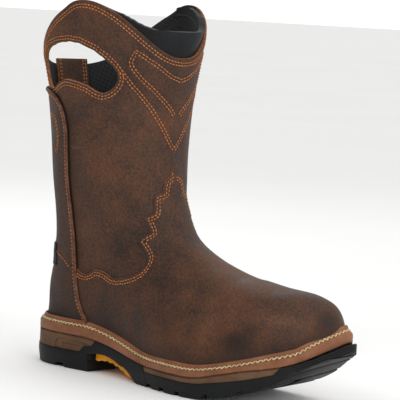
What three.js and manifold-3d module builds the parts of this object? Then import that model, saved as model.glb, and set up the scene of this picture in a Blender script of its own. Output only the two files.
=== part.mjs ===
// Pull-on work boot for the right foot, toe along +X, inner side along +Y, soles on z = 0.
import * as THREE from "three";
import { mergeVertices } from "three/addons/utils/BufferGeometryUtils.js";
import Module from "manifold-3d";

const wasm = await Module();
wasm.setup();

// Driving sizes in millimetres
const LENGTH = 312; // outsole, heel rear to toe tip
const BALL_WIDTH = 106; // outsole across the ball
const HEIGHT = 310; // floor to the peaks of the topline
const HEEL_SEAT = 38.5; // floor to the welt's top at the heel
const BALL_SEAT = 23.7; // floor to the welt's top at the ball
const TOE_SPRING = 36; // lift of the tread at the toe tip
const LAST_SPRING = 33; // lift of the last's underside there
const BALL_SINK = 1.2; // how far the last sits below the seat at the ball
const TOE_LEAD = 0.16; // how much sooner the toe turns up toward the inner side, per mm across
const TOE_SLANT = 6; // how far the toe's inner corner leads, and its outer one lags
const WALL = 2.2; // leather of the upper
const OVERLAY = 1.4; // leather of the panels laid over it
const GAP = 0.3; // between two pieces
const EDGE = 7.5; // ledge of the welt outside the upper
const TOE_EDGE = 4; // how much wider that ledge is at the toe
const WELT_HEEL = 10; // band of the welt at the heel
const WELT_BALL = 7.2; // band of the welt at the ball
const LEDGE_DROP = 2.6; // how far the stitch ledge slopes down to the band's edge
const WELT_BACK = 3.5; // how far the welt stays behind the outsole at the toe
const MIDSOLE_BALL = 4.8; // midsole layer at the ball
const HEEL_BLOCK = 15; // black heel layer
const LUG = 5; // depth of the tread blocks
const NOTCH = 3; // depth of the grooves across the tread
const CENTRE_GROOVE = 8; // width of the groove along the middle of the tread
const RIBS = 4; // grooves round the toe's wall
const RIB_PITCH = 1.9;
const RIB_GROOVE = 0.8; // height of each groove
const RIB_DEPTH = 0.8;
const PANEL_DEPTH = 0.9; // sunk panel on each side of the heel's midsole
const POCKET_DEPTH = 1.8; // the pocket inside it
const ARCH_START = 0.265; // heel breast as a share of the length
const ARCH_END = 0.46; // end of the arch as a share of the length
const BALL_AT = 0.63; // where the toe spring starts, share of the length
const LIP_RISE = 2.8; // raised lip of the welt
const LIP_WIDTH = 2;
const WELT_REACH = 8; // how far the welt runs in under the upper
const ARCH_PLATE = 3; // black plate over the arch
const SIDE_WALL = 5; // black walls beside arch, toe and heel rear
const CORD = 1.9; // half-width of the side seam's cord
const CORD_RISE = 3.2; // how far the cord stands off the leather
const COLLAR_PAD = 5; // thickness of the padded collar
const STRAP_WIDTH = 38;
const STRAP_THICK = 2.6;
const TAB_THICK = 1.2;
const SHAFT = HEIGHT - HEEL_SEAT; // the upper above the welt at the heel

const FAR = 2 * HEIGHT; // past everything, for cutting bodies
const SPAN = 0.66 * BALL_WIDTH; // half the width of the bodies that cut the sole
const ENDS = [-0.2 * LENGTH, 1.1 * LENGTH]; // and how far they reach along it

const HALF_RING = 16; // steps from the back centre line to the front one
const RING = 2 * HALF_RING;
const STEPS = 2; // rings between two rows of the section table, on the foot
const FOOT_ROWS = 8; // above these rows one ring a row is enough
const STATION = LENGTH / 20; // spacing of the heights along the sole
const SEAM_STEPS = 13; // stations along the side seam

// In the tables, lengths along the boot are shares of LENGTH, widths shares of BALL_WIDTH,
// and heights of the upper shares of SHAFT above the heel's seat.

// Outline of the outsole: distance from the heel rear, reach to the outer and to the inner side
const SOLE_COLUMNS = ["x", "outer", "inner"];
const SOLE_ROWS = [
  [0.01, 0.16, 0.151],
  [0.032, 0.255, 0.245],
  [0.08, 0.34, 0.33],
  [0.144, 0.368, 0.358],
  [0.256, 0.358, 0.34],
  [0.369, 0.368, 0.321],
  [0.481, 0.434, 0.344],
  [0.593, 0.509, 0.41],
  [0.689, 0.528, 0.472],
  [0.785, 0.5, 0.476],
  [0.881, 0.425, 0.443],
  [0.936, 0.358, 0.406],
  [0.974, 0.274, 0.34],
  [0.994, 0.16, 0.236],
];

// Sections of the upper from the toe box to the topline. backX and frontX: ends on the centre line.
// backUp and frontUp: their heights above the seat line. follow: how far the section follows the
// seat line and the inward swing of the foot. w1 to w6: half-widths from back to front.
const SECTION_COLUMNS = ["backX", "frontX", "backUp", "frontUp", "follow", "w1", "w2", "w3", "w4", "w5", "w6"];
const WIDTH_AT = [0, 0.12, 0.27, 0.42, 0.58, 0.73, 0.88, 1];
const SECTION_ROWS = [
  [0.016, 0.968, 0.033, 0.044, 1, 0.189, 0.307, 0.297, 0.42, 0.42, 0.274],
  [0.016, 0.952, 0.066, 0.099, 0.95, 0.189, 0.321, 0.316, 0.406, 0.401, 0.255],
  [0.016, 0.917, 0.099, 0.151, 0.8, 0.184, 0.325, 0.33, 0.387, 0.354, 0.212],
  [0.022, 0.814, 0.136, 0.197, 0.55, 0.179, 0.321, 0.33, 0.354, 0.311, 0.179],
  [0.032, 0.696, 0.173, 0.224, 0.35, 0.175, 0.316, 0.34, 0.335, 0.269, 0.151],
  [0.038, 0.587, 0.213, 0.256, 0.2, 0.175, 0.316, 0.349, 0.335, 0.245, 0.132],
  [0.048, 0.5, 0.265, 0.3, 0.1, 0.179, 0.325, 0.368, 0.354, 0.259, 0.137],
  [0.05, 0.449, 0.338, 0.384, 0.05, 0.184, 0.344, 0.406, 0.396, 0.292, 0.146],
  [0.038, 0.428, 0.449, 0.48, 0, 0.189, 0.368, 0.453, 0.448, 0.34, 0.165],
  [0.021, 0.423, 0.581, 0.601, 0, 0.184, 0.373, 0.476, 0.472, 0.364, 0.179],
  [0.006, 0.429, 0.71, 0.73, 0, 0.198, 0.406, 0.519, 0.509, 0.39, 0.191],
  [-0.013, 0.442, 0.838, 0.847, 0, 0.226, 0.458, 0.575, 0.566, 0.434, 0.211],
  [-0.022, 0.452, 1.042, 1.042, 0, 0.236, 0.472, 0.608, 0.594, 0.46, 0.225],
];

// Topline seen from the side, x and height
const TOPLINE = [
  [-0.038, 0.79],
  [0.019, 0.801],
  [0.064, 0.853],
  [0.109, 0.904],
  [0.147, 0.939],
  [0.189, 0.969],
  [0.224, 0.993],
  [0.256, 1],
  [0.288, 0.996],
  [0.324, 0.982],
  [0.359, 0.956],
  [0.394, 0.915],
  [0.42, 0.875],
  [0.439, 0.842],
  [0.487, 0.812],
];

// Pull hole seen from the side, x and height, closed
const PULL_HOLE = [
  [0.08, 0.79],
  [0.099, 0.835],
  [0.151, 0.86],
  [0.199, 0.869],
  [0.244, 0.868],
  [0.288, 0.849],
  [0.327, 0.816],
  [0.346, 0.783],
  [0.34, 0.75],
  [0.317, 0.724],
  [0.295, 0.721],
  [0.269, 0.735],
  [0.224, 0.75],
  [0.176, 0.752],
  [0.141, 0.735],
  [0.115, 0.721],
  [0.093, 0.728],
  [0.08, 0.757],
];

// Edge of the vamp seen from the front quarter: across ((x less |y|) over root two) and height
const VAMP_EDGE = [
  [0.3, 0.481],
  [0.284, 0.471],
  [0.277, 0.448],
  [0.255, 0.418],
  [0.255, 0.374],
  [0.232, 0.354],
  [0.253, 0.309],
  [0.216, 0.28],
  [0.234, 0.255],
  [0.243, 0.229],
  [0.236, 0.201],
  [0.218, 0.18],
  [0.196, 0.162],
  [0.151, 0.155],
  [0.126, 0.168],
  [0.105, 0.177],
  [0.092, 0.16],
  [0.072, 0.168],
];

// Top edge of the heel counter seen from the rear quarter: across (x plus |y|) and height
const COUNTER_EDGE = [
  [-0.096, 0.267],
  [0.022, 0.267],
  [0.064, 0.26],
  [0.099, 0.247],
  [0.128, 0.221],
  [0.176, 0.199],
  [0.2, 0.175],
];

// Padded collar seen from the side, x and height: its free top edge, then its lower edge
const COLLAR_TOP = [
  [0.231, 0.982],
  [0.269, 0.989],
  [0.308, 0.982],
  [0.353, 0.963],
  [0.381, 0.945],
  [0.401, 0.928],
  [0.42, 0.919],
  [0.481, 0.915],
];
const COLLAR_LOW = [
  [0.481, 0.732],
  [0.375, 0.739],
  [0.365, 0.812],
  [0.333, 0.875],
  [0.288, 0.908],
  [0.244, 0.934],
  [0.231, 0.952],
];

// Side seam seen from the side, x and height, from the welt up and round to the back centre line
const SEAM = [
  [0.244, -0.008],
  [0.237, 0.007],
  [0.216, 0.055],
  [0.202, 0.114],
  [0.192, 0.184],
  [0.189, 0.29],
  [0.188, 0.401],
  [0.184, 0.548],
  [0.179, 0.625],
  [0.16, 0.676],
  [0.125, 0.704],
  [0.077, 0.715],
  [0.038, 0.717],
];

// Smooth curve through the points of a table
function curveThrough(xs, ys) {
  const last = xs.length - 1;
  const rise = (i) => (ys[i + 1] - ys[i]) / (xs[i + 1] - xs[i]);
  const step = (i) => xs[i + 1] - xs[i];
  const slope = xs.map((_, i) => {
    if (last === 1) return rise(0);
    if (i === 0) return ((2 * step(0) + step(1)) * rise(0) - step(0) * rise(1)) / (step(0) + step(1));
    if (i === last) {
      const a = step(last - 1);
      const b = step(last - 2);
      return ((2 * a + b) * rise(last - 1) - a * rise(last - 2)) / (a + b);
    }
    return (step(i) * rise(i - 1) + step(i - 1) * rise(i)) / (step(i - 1) + step(i));
  });
  return (x) => {
    let i = 0;
    while (i < last - 1 && x > xs[i + 1]) i += 1;
    const h = step(i);
    const t = Math.min(Math.max((x - xs[i]) / h, 0), 1);
    const a = ys[i] * (1 + 2 * t) * (1 - t) ** 2 + slope[i] * h * t * (1 - t) ** 2;
    return a + ys[i + 1] * t * t * (3 - 2 * t) + slope[i + 1] * h * t * t * (t - 1);
  };
}

function readTable(columns, rows) {
  return rows.map((row) => Object.fromEntries(columns.map((name, i) => [name, row[i]])));
}

const smooth = (t) => {
  const c = Math.min(Math.max(t, 0), 1);
  return c * c * (3 - 2 * c);
};

// Toe spring: how far each line of the sole has risen above the ball, as shares of TOE_SPRING
const SPRING_COLUMNS = ["x", "tread", "black", "welt", "seat"];
const SPRING_ROWS = [
  [BALL_AT, 0, 0, 0, 0],
  [0.7, 0.03, 0.02, 0.03, 0.03],
  [0.77, 0.115, 0.125, 0.17, 0.15],
  [0.84, 0.26, 0.25, 0.32, 0.305],
  [0.9, 0.46, 0.39, 0.425, 0.455],
  [0.945, 0.67, 0.52, 0.515, 0.56],
  [0.98, 0.9, 0.67, 0.615, 0.655],
  [1.005, 1.045, 0.79, 0.73, 0.82],
  [1.045, 1.25, 1.03, 1.04, 1.14],
];

// Heights along the sole
const springOf = (name) => {
  const rows = readTable(SPRING_COLUMNS, SPRING_ROWS);
  const rise = curveThrough(rows.map((row) => row.x * LENGTH), rows.map((row) => TOE_SPRING * row[name]));
  return (x) => (x <= BALL_AT * LENGTH ? 0 : rise(x));
};
const [treadZ, blackRise, weltRise, seatRise] = SPRING_COLUMNS.slice(1).map(springOf);
const archShare = (x) => smooth((x / LENGTH - 0.22) / (0.52 - 0.22));
const seatZ = (x) => HEEL_SEAT + (BALL_SEAT - HEEL_SEAT) * archShare(x) + seatRise(x);
const weltZ = (x) => {
  const [heel, ball] = [HEEL_SEAT - WELT_HEEL, BALL_SEAT - WELT_BALL];
  return heel + (ball - heel) * archShare(x) + weltRise(x);
};
const blackTopZ = (x) => {
  const ball = BALL_SEAT - WELT_BALL - MIDSOLE_BALL;
  return HEEL_BLOCK + (ball - HEEL_BLOCK) * archShare(x) + blackRise(x);
};
const lastZ = (x) => {
  const spring = LAST_SPRING * Math.max((x / LENGTH - BALL_AT) / (1 - BALL_AT), 0) ** 2;
  return HEEL_SEAT + (BALL_SEAT - BALL_SINK - HEEL_SEAT) * archShare(x) + spring;
};

// The toe turns up about an oblique line: the place on the outer side with the same heights as (x, y)
const FLAT_AT = 0.55; // in the flat middle of the sole, where the oblique part starts, share of LENGTH
const OUTER_LINE = 0.38; // where the heights are written for, share of BALL_WIDTH to the outer side
const lead = (y) => TOE_LEAD * (y + OUTER_LINE * BALL_WIDTH);
const sprung = (x, y) => (x < FLAT_AT * LENGTH ? x : x + lead(y));

// The toe's front edge runs forward toward the inner side
const slanted = (x, y) => x + (TOE_SLANT * smooth((x / LENGTH - 0.55) / 0.45) * y) / (BALL_WIDTH / 3);

// Plan outline of the sole as a ring: back centre, outer side, front centre, inner side
function soleOutline() {
  const rows = readTable(SOLE_COLUMNS, SOLE_ROWS);
  const angle = (x) => Math.acos(1 - 2 * x) / Math.PI;
  const at = [0, ...rows.map((row) => angle(row.x)), 1];
  const outer = curveThrough(at, [0, ...rows.map((row) => row.outer), 0]);
  const inner = curveThrough(at, [0, ...rows.map((row) => row.inner), 0]);
  const ring = [];
  for (let i = 0; i < RING; i += 1) {
    const share = i <= HALF_RING ? i / HALF_RING : (RING - i) / HALF_RING;
    const x = (LENGTH * (1 - Math.cos(Math.PI * share))) / 2;
    const y = BALL_WIDTH * (i <= HALF_RING ? -outer(share) : inner(share));
    ring.push(new THREE.Vector2(slanted(x, y), y));
  }
  return ring;
}

// Moves a plan ring outward by a distance that may depend on x
function grown(ring, distance) {
  const reach = typeof distance === "function" ? distance : () => distance;
  return ring.map((point, i) => {
    const before = ring[(i + RING - 1) % RING];
    const after = ring[(i + 1) % RING];
    const along = new THREE.Vector2().subVectors(after, before).normalize();
    const out = new THREE.Vector2(along.y, -along.x);
    return point.clone().addScaledVector(out, reach(point.x));
  });
}

const sole = soleOutline();
const edgeAt = (x) => EDGE + TOE_EDGE * smooth((x / LENGTH - 0.85) / 0.15);
const feather = grown(sole, (x) => -edgeAt(x));

// Middle line of the foot between its two sides
const swing = (() => {
  const rows = readTable(SOLE_COLUMNS, SOLE_ROWS);
  const middle = rows.map((row) => (BALL_WIDTH * (row.inner - row.outer)) / 2);
  return curveThrough(rows.map((row) => row.x * LENGTH), middle);
})();

// Rings of the upper, from just under the welt's top to above the topline
const SINK = 2;

function keyRings() {
  const rings = [feather.map((p) => new THREE.Vector3(p.x, p.y, seatZ(sprung(p.x, p.y)) - SINK))];
  for (const row of readTable(SECTION_COLUMNS, SECTION_ROWS)) {
    const widths = curveThrough(WIDTH_AT, [0, row.w1, row.w2, row.w3, row.w4, row.w5, row.w6, 0]);
    const ring = [];
    for (let i = 0; i < RING; i += 1) {
      const share = i <= HALF_RING ? i / HALF_RING : (RING - i) / HALF_RING;
      const side = i <= HALF_RING ? -1 : 1;
      const along = (1 - Math.cos(Math.PI * share)) / 2;
      const straight = LENGTH * (row.backX + (row.frontX - row.backX) * along);
      const y = side * BALL_WIDTH * widths(share) + row.follow * swing(straight);
      const x = straight + row.follow * (slanted(straight, y) - straight);
      const base = row.follow * lastZ(sprung(x, y)) + (1 - row.follow) * HEEL_SEAT;
      const z = base + SHAFT * (row.backUp + (row.frontUp - row.backUp) * along);
      ring.push(new THREE.Vector3(x, y, z));
    }
    rings.push(ring);
  }
  return rings;
}

// Rings in between, by a curve through the same point of every key ring
function fineRings() {
  const keys = keyRings();
  const knots = [0];
  for (let k = 1; k < keys.length; k += 1) {
    const span = keys[k].reduce((sum, p, i) => sum + p.distanceTo(keys[k - 1][i]), 0) / RING;
    knots.push(knots[k - 1] + span);
  }
  const columns = [];
  for (let i = 0; i < RING; i += 1) {
    columns.push(["x", "y", "z"].map((axis) => curveThrough(knots, keys.map((ring) => ring[i][axis]))));
  }
  const rings = [];
  for (let k = 0; k < keys.length - 1; k += 1) {
    const steps = k < FOOT_ROWS ? STEPS : 1;
    for (let s = 0; s < steps; s += 1) {
      const at = knots[k] + ((knots[k + 1] - knots[k]) * s) / steps;
      rings.push(columns.map((curves) => new THREE.Vector3(...curves.map((curve) => curve(at)))));
    }
  }
  rings.push(keys[keys.length - 1]);
  return rings;
}

const rings = fineRings();

const normals = rings.map((ring, k) => ring.map((_, i) => {
  const round = new THREE.Vector3().subVectors(ring[(i + 1) % RING], ring[(i + RING - 1) % RING]);
  const below = rings[Math.max(k - 1, 0)][i];
  const above = rings[Math.min(k + 1, rings.length - 1)][i];
  const up = new THREE.Vector3().subVectors(above, below);
  return round.cross(up).normalize();
}));

// Closed body out of rings of equal length, flat across at both ends
function loft(stack) {
  const count = stack[0].length;
  const half = count / 2;
  const positions = stack.flat().flatMap((p) => [p.x, p.y, p.z]);
  const index = [];
  for (let k = 0; k < stack.length - 1; k += 1) {
    for (let i = 0; i < count; i += 1) {
      const a = k * count + i;
      const b = k * count + ((i + 1) % count);
      index.push(a, b, b + count, a, b + count, a + count);
    }
  }
  const top = (stack.length - 1) * count;
  for (let i = 0; i < half; i += 1) {
    const a = i;
    const b = i + 1;
    const c = count - i - 1;
    const d = (count - i) % count;
    if (i < half - 1) {
      index.push(a, c, b);
      index.push(top + a, top + b, top + c);
    }
    if (i > 0) {
      index.push(a, d, c);
      index.push(top + a, top + c, top + d);
    }
  }
  const geometry = new THREE.BufferGeometry();
  geometry.setAttribute("position", new THREE.Float32BufferAttribute(positions, 3));
  geometry.setIndex(index);
  return geometry;
}

function solid(geometry) {
  const bare = geometry.clone();
  bare.deleteAttribute("normal");
  bare.deleteAttribute("uv");
  const merged = mergeVertices(bare, 1e-5);
  const vertProperties = new Float32Array(merged.attributes.position.array);
  const triVerts = new Uint32Array(merged.index.array);
  return new wasm.Manifold(new wasm.Mesh({ numProp: 3, vertProperties, triVerts }));
}

const lower = (ring, dz) => ring.map((p) => new THREE.Vector3(p.x, p.y, p.z + dz));

// The upper's own surface moved outward by lift, as a solid
function form(lift, below = 0, coarse = false) {
  let stack = rings.map((ring, k) => ring.map((p, i) => p.clone().addScaledVector(normals[k][i], lift)));
  stack[0].forEach((p, i) => p.setZ(rings[0][i].z));
  if (coarse) {
    stack = stack.filter((_, k) => k > FOOT_ROWS * STEPS || k % STEPS === 0);
    stack = stack.map((ring) => ring.filter((_, i) => i % 2 === 0));
  }
  if (below > 0) stack.unshift(lower(stack[0], -below));
  if (lift < 0) stack.push(lower(stack[stack.length - 1], 4));
  return solid(loft(stack));
}

function box(x0, x1, y0, y1, z0, z1) {
  const geometry = new THREE.BoxGeometry(x1 - x0, y1 - y0, z1 - z0);
  geometry.translate((x0 + x1) / 2, (y0 + y1) / 2, (z0 + z1) / 2);
  return solid(geometry);
}

// Prism of an outline in (across, height); across runs along the direction turn, reach along its left
function prismGeometry(points, turn, from, to) {
  const shape = new THREE.Shape(points.map(([a, z]) => new THREE.Vector2(a, z)));
  const geometry = new THREE.ExtrudeGeometry(shape, { depth: to - from, bevelEnabled: false });
  geometry.translate(0, 0, from);
  const across = new THREE.Vector3(Math.cos(turn), Math.sin(turn), 0);
  const up = new THREE.Vector3(0, 0, 1);
  const depth = new THREE.Vector3().crossVectors(across, up);
  geometry.applyMatrix4(new THREE.Matrix4().makeBasis(across, up, depth));
  return geometry;
}

const prism = (points, turn = 0, from = -FAR, to = FAR) => solid(prismGeometry(points, turn, from, to));

// Body between two heights given along the length, from one x to another, oblique at the toe
function sideways(bottom, top, from, to) {
  const xs = [from];
  for (let x = Math.ceil((from + 1) / STATION) * STATION; x < to - 1; x += STATION) {
    const oblique = x > (FLAT_AT - 0.02) * LENGTH && x < BALL_AT * LENGTH;
    if (!oblique) xs.push(x);
  }
  xs.push(to);
  const outline = [...xs.map((x) => [x, bottom(x)]), ...xs.reverse().map((x) => [x, top(x)])];
  const geometry = prismGeometry(outline, 0, -SPAN, SPAN);
  const place = geometry.attributes.position;
  for (let i = 0; i < place.count; i += 1) {
    const x = place.getX(i);
    if (x >= BALL_AT * LENGTH) place.setX(i, x - lead(place.getY(i)));
  }
  return solid(geometry);
}

// Upright body over the sole's outline, grown by one distance, and by another one at the tread
const SIDE_RISE = 10; // height over which it goes from one to the other
const plan = (distance, low = distance) => {
  const edge = grown(sole, distance);
  const foot = grown(sole, low);
  const at = (ring, height) => ring.map((p) => new THREE.Vector3(p.x, p.y, height(sprung(p.x, p.y))));
  const deep = at(foot, () => -FAR);
  const high = at(edge, () => FAR);
  if (low === distance) return solid(loft([deep, high]));
  return solid(loft([deep, at(foot, treadZ), at(edge, (x) => treadZ(x) + SIDE_RISE), high]));
};

// Layer of the sole between two heights
const layer = (distance, bottom, top, low = distance) => {
  return plan(distance, low).intersect(sideways(bottom, top, ...ENDS));
};

function splinePoints(points, count, closed) {
  const knots = points.map(([a, z]) => new THREE.Vector3(a, z, 0));
  const curve = new THREE.CatmullRomCurve3(knots, closed, "centripetal");
  return curve.getPoints(count).slice(0, closed ? count : count + 1).map((p) => [p.x, p.y]);
}

// Tables of side outlines carried over to the driving sizes
const sized = (points) => points.map(([x, z]) => [x * LENGTH, HEEL_SEAT + z * SHAFT]);

// Point and normal of the outer side's surface at a given x and height
function onSide(x, z) {
  const pointAt = (i) => {
    let k = 0;
    while (k < rings.length - 2 && rings[k + 1][i].z < z) k += 1;
    const t = Math.min(Math.max((z - rings[k][i].z) / (rings[k + 1][i].z - rings[k][i].z), 0), 1);
    return {
      point: rings[k][i].clone().lerp(rings[k + 1][i], t),
      normal: normals[k][i].clone().lerp(normals[k + 1][i], t).normalize(),
    };
  };
  let i = 0;
  while (i < HALF_RING - 1 && pointAt(i + 1).point.x < x) i += 1;
  const a = pointAt(i);
  const b = pointAt(i + 1);
  const t = Math.min(Math.max((x - a.point.x) / (b.point.x - a.point.x), 0), 1);
  return { point: a.point.lerp(b.point, t), normal: a.normal.lerp(b.normal, t).normalize() };
}

// Body swept along the side seam: a section given as (across, off the leather) pairs
function seamSweep(section, stations, side) {
  const path = splinePoints(sized(SEAM), stations, false).map(([x, z]) => onSide(x, z));
  const stack = path.map((here, k) => {
    const ahead = path[Math.min(k + 1, path.length - 1)].point;
    const behind = path[Math.max(k - 1, 0)].point;
    const along = new THREE.Vector3().subVectors(ahead, behind).normalize();
    const across = new THREE.Vector3().crossVectors(here.normal, along).normalize();
    const out = new THREE.Vector3().crossVectors(along, across).normalize();
    const at = ([a, n]) => here.point.clone().addScaledVector(across, a).addScaledVector(out, n);
    const ring = section.map(at);
    return ring.map((p) => new THREE.Vector3(p.x, -side * p.y, p.z));
  });
  return solid(loft(side < 0 ? stack : stack.map((ring) => [...ring].reverse())));
}

const QUARTER = Math.PI / 4;

// Cuts the same outline on the outer and the inner half, seen from the quarter
function bothHalves(body, outline, rear) {
  const spread = rear ? -1 : 1;
  const meet = 0.05; // the halves overlap by this much, so that they join
  const outerHalf = box(-FAR, FAR, -FAR, meet, -FAR, FAR);
  const innerHalf = box(-FAR, FAR, -meet, FAR, -FAR, FAR);
  const outerCut = prism(outline, QUARTER * spread);
  const innerCut = prism(outline, -QUARTER * spread);
  return body.intersect(outerHalf).intersect(outerCut).add(body.intersect(innerHalf).intersect(innerCut));
}

// Upper
const topCut = (() => {
  const line = splinePoints(sized(TOPLINE), 24, false);
  return prism([[-FAR, FAR], [-FAR, line[0][1]], ...line, [FAR, line.at(-1)[1]], [FAR, FAR]]);
})();
const pullHole = prism(splinePoints(sized(PULL_HOLE), 22, true));
const belowSeat = sideways(() => -FAR, (x) => seatZ(x) + GAP, ...ENDS);
const upper = form(0).subtract(form(-WALL, 12, true)).subtract(topCut).subtract(pullHole).subtract(belowSeat);

// Panels over the upper
const over = form(GAP + OVERLAY).subtract(form(GAP, 6)).subtract(belowSeat);
const grooveHalf = CORD + GAP;
const grooveTop = CORD_RISE + OVERLAY;
const grooveSection = [
  [-grooveHalf, -WALL],
  [grooveHalf, -WALL],
  [grooveHalf, grooveTop],
  [-grooveHalf, grooveTop],
];
const groove = seamSweep(grooveSection, SEAM_STEPS, -1).add(seamSweep(grooveSection, SEAM_STEPS, 1));
const seamLine = splinePoints(sized(SEAM), SEAM_STEPS, false).map(([x, z]) => onSide(x, z).point);
const seamBelow = (height) => seamLine.filter((p) => p.z < height).reverse();
const frontAcross = (p) => [(p.x - Math.abs(p.y)) / Math.SQRT2, p.z];
const rearAcross = (p) => [(p.x + Math.abs(p.y)) / Math.SQRT2, p.z];
const vampEdge = sized(VAMP_EDGE);
const counterEdge = sized(COUNTER_EDGE);

const vampTop = vampEdge[0][1];
const vampSeam = seamBelow(vampEdge.at(-1)[1] - 1).map(frontAcross);
const vampShape = [...vampEdge, ...vampSeam, [vampSeam.at(-1)[0], -FAR], [FAR, -FAR], [FAR, vampTop]];
const vamp = bothHalves(over, vampShape, false).subtract(groove);

const counterLow = counterEdge.at(-1)[1];
const counterSeam = seamBelow(counterLow - 1).map(rearAcross);
const rearX = counterEdge[0][0];
const counterShape = [...counterEdge, ...counterSeam, [counterSeam.at(-1)[0], -FAR], [rearX, -FAR]];
const counter = bothHalves(over, counterShape, true).subtract(groove);

const panelSeam = seamLine.filter((p) => p.z > counterLow + 1).reverse().map(rearAcross);
const panelLow = [...counterEdge].reverse().map(([a, z]) => [a + GAP, z + GAP * 2]);
const panelShape = [[rearX, panelSeam[0][1]], ...panelSeam, ...panelLow];
const backPanel = bothHalves(over, panelShape, true).subtract(groove);

// Soft parts inside the topline
const lining = form(-WALL - GAP, 0, true);
const collarShape = [...splinePoints(sized(COLLAR_TOP), 12, false), ...sized(COLLAR_LOW)];
const collar = lining.subtract(form(-WALL - GAP - COLLAR_PAD, 12, true)).intersect(prism(collarShape));
const STRAP_ZONE = [[-0.2, 0.603], [0.128, 0.8125]]; // corners seen from the side
const [strapLow, strapHigh] = sized(STRAP_ZONE);
const strap = lining.subtract(form(-WALL - GAP - STRAP_THICK, 12, true))
  .intersect(box(strapLow[0], strapHigh[0], -STRAP_WIDTH / 2, STRAP_WIDTH / 2, strapLow[1], strapHigh[1]));

// Small fabric tab over the counter's edge, on the outer side
const tabLift = OVERLAY + GAP * 2;
const TAB_SHAPE = [[0.103, 0.165], [0.135, 0.165], [0.135, 0.235], [0.103, 0.235]];
const tab = form(tabLift + TAB_THICK).subtract(form(tabLift, 6))
  .intersect(prism(sized(TAB_SHAPE), -QUARTER))
  .intersect(box(-FAR, ARCH_START * LENGTH, -FAR, 0, 0, FAR));

// Underside of the arch, its heights as shares of HEEL_SEAT
const ARCH_ROWS = [
  [0.256, 0.44],
  [0.276, 0.455],
  [0.308, 0.49],
  [0.356, 0.436],
  [0.401, 0.3],
  [0.436, 0.15],
  [0.452, 0.04],
  [0.481, 0],
];

// Outline of the black wall beside the arch, seen from the side: its heel end, then its ball end
const ARCH_WALL_REAR = [
  [0.215, 0.3],
  [0.228, 0.416],
  [0.2455, 0.545],
  [0.2715, 0.571],
  [0.285, 0.7],
  [0.298, 0.85],
];
const ARCH_WALL_FRONT = [
  [0.493, 0.46],
  [0.508, 0.24],
];

// Rear edge of the black wall round the toe
const TOE_WALL = [
  [0.913, 0.6],
  [0.917, 0.68],
  [0.945, 0.98],
];

// Sunk panel on the side of the heel's midsole, and the pocket in it
const HEEL_PANEL = [
  [0.128, 0.3],
  [0.134, 0.54],
  [0.142, 0.605],
  [0.154, 0.63],
  [0.264, 0.6],
  [0.24, 0.5],
  [0.222, 0.3],
];
const HEEL_POCKET = [
  [0.159, 0.42],
  [0.16, 0.545],
  [0.226, 0.54],
  [0.219, 0.42],
];
const heightened = (points) => points.map(([x, z]) => [x * LENGTH, z * HEEL_SEAT]);

// Side walls of black rubber beside the arch, round the toe and up the heel rear
const archUnder = curveThrough(...[0, 1].map((axis) => heightened(ARCH_ROWS).map((row) => row[axis])));
const breast = ARCH_START * LENGTH;
const archEnd = ARCH_END * LENGTH;
const wallStart = breast - SIDE_WALL;
const REAR_STRIP = 26; // width of the strip up the heel's rear
const REAR_REACH = 0.045; // how far forward it reaches, share of LENGTH
const wallZones = (grow) => {
  const rear = heightened(ARCH_WALL_REAR).map(([x, z]) => [x - grow, z]);
  const front = heightened(ARCH_WALL_FRONT).map(([x, z]) => [x + grow, z]);
  const toe = heightened(TOE_WALL).map(([x, z]) => [x - grow, z]);
  const rearLine = [[rear[0][0], -FAR], ...rear, [rear.at(-1)[0], FAR]];
  const beside = prism([...rearLine, [front[0][0], FAR], ...front, [front[1][0], -FAR]]);
  const round = prism([[toe[0][0], -FAR], ...toe, [toe.at(-1)[0], FAR], [FAR, FAR], [FAR, -FAR]]);
  const half = REAR_STRIP / 2 + grow;
  return beside.add(round).add(box(-FAR, REAR_REACH * LENGTH, -half, half, -FAR, FAR));
};
const wallRing = (outer, inner, bottom, top) => layer(outer, bottom, top).subtract(plan(inner));

// Grooves across the tread, seen from the side: place and width
const TREAD_GROOVES = [
  [0.152, 0.024],
  [0.523, 0.014],
  [0.583, 0.014],
  [0.645, 0.012],
  [0.74, 0.01],
  [0.837, 0.016],
  [0.911, 0.012],
  [0.96, 0.012],
];
const tread = (() => {
  const half = CENTRE_GROOVE / 2;
  const middle = layer(-3.5 * CENTRE_GROOVE, () => -FAR, (x) => treadZ(x) + LUG);
  let cut = middle.intersect(box(-FAR, FAR, -half, half, -FAR, FAR));
  const depth = layer(1, () => -FAR, (x) => treadZ(x) + NOTCH);
  for (const [place, width] of TREAD_GROOVES) {
    const from = (place - width / 2) * LENGTH;
    cut = cut.add(depth.intersect(box(from, from + width * LENGTH, -FAR, FAR, -FAR, FAR)));
  }
  return cut;
})();

// Grooves round the wall of the toe, under the welt
const toeRibs = (() => {
  const RIBS_FROM = 0.965; // share of LENGTH
  const drop = RIB_PITCH - RIB_GROOVE / 2;
  let cut = null;
  for (let k = 0; k < RIBS; k += 1) {
    const high = (x) => weltZ(x) - drop - k * RIB_PITCH;
    const rib = layer(1, (x) => high(x) - RIB_GROOVE, high);
    cut = cut ? cut.add(rib) : rib;
  }
  return cut.subtract(plan(-RIB_DEPTH)).intersect(box(RIBS_FROM * LENGTH, FAR, -FAR, FAR, -FAR, FAR));
})();

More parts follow.
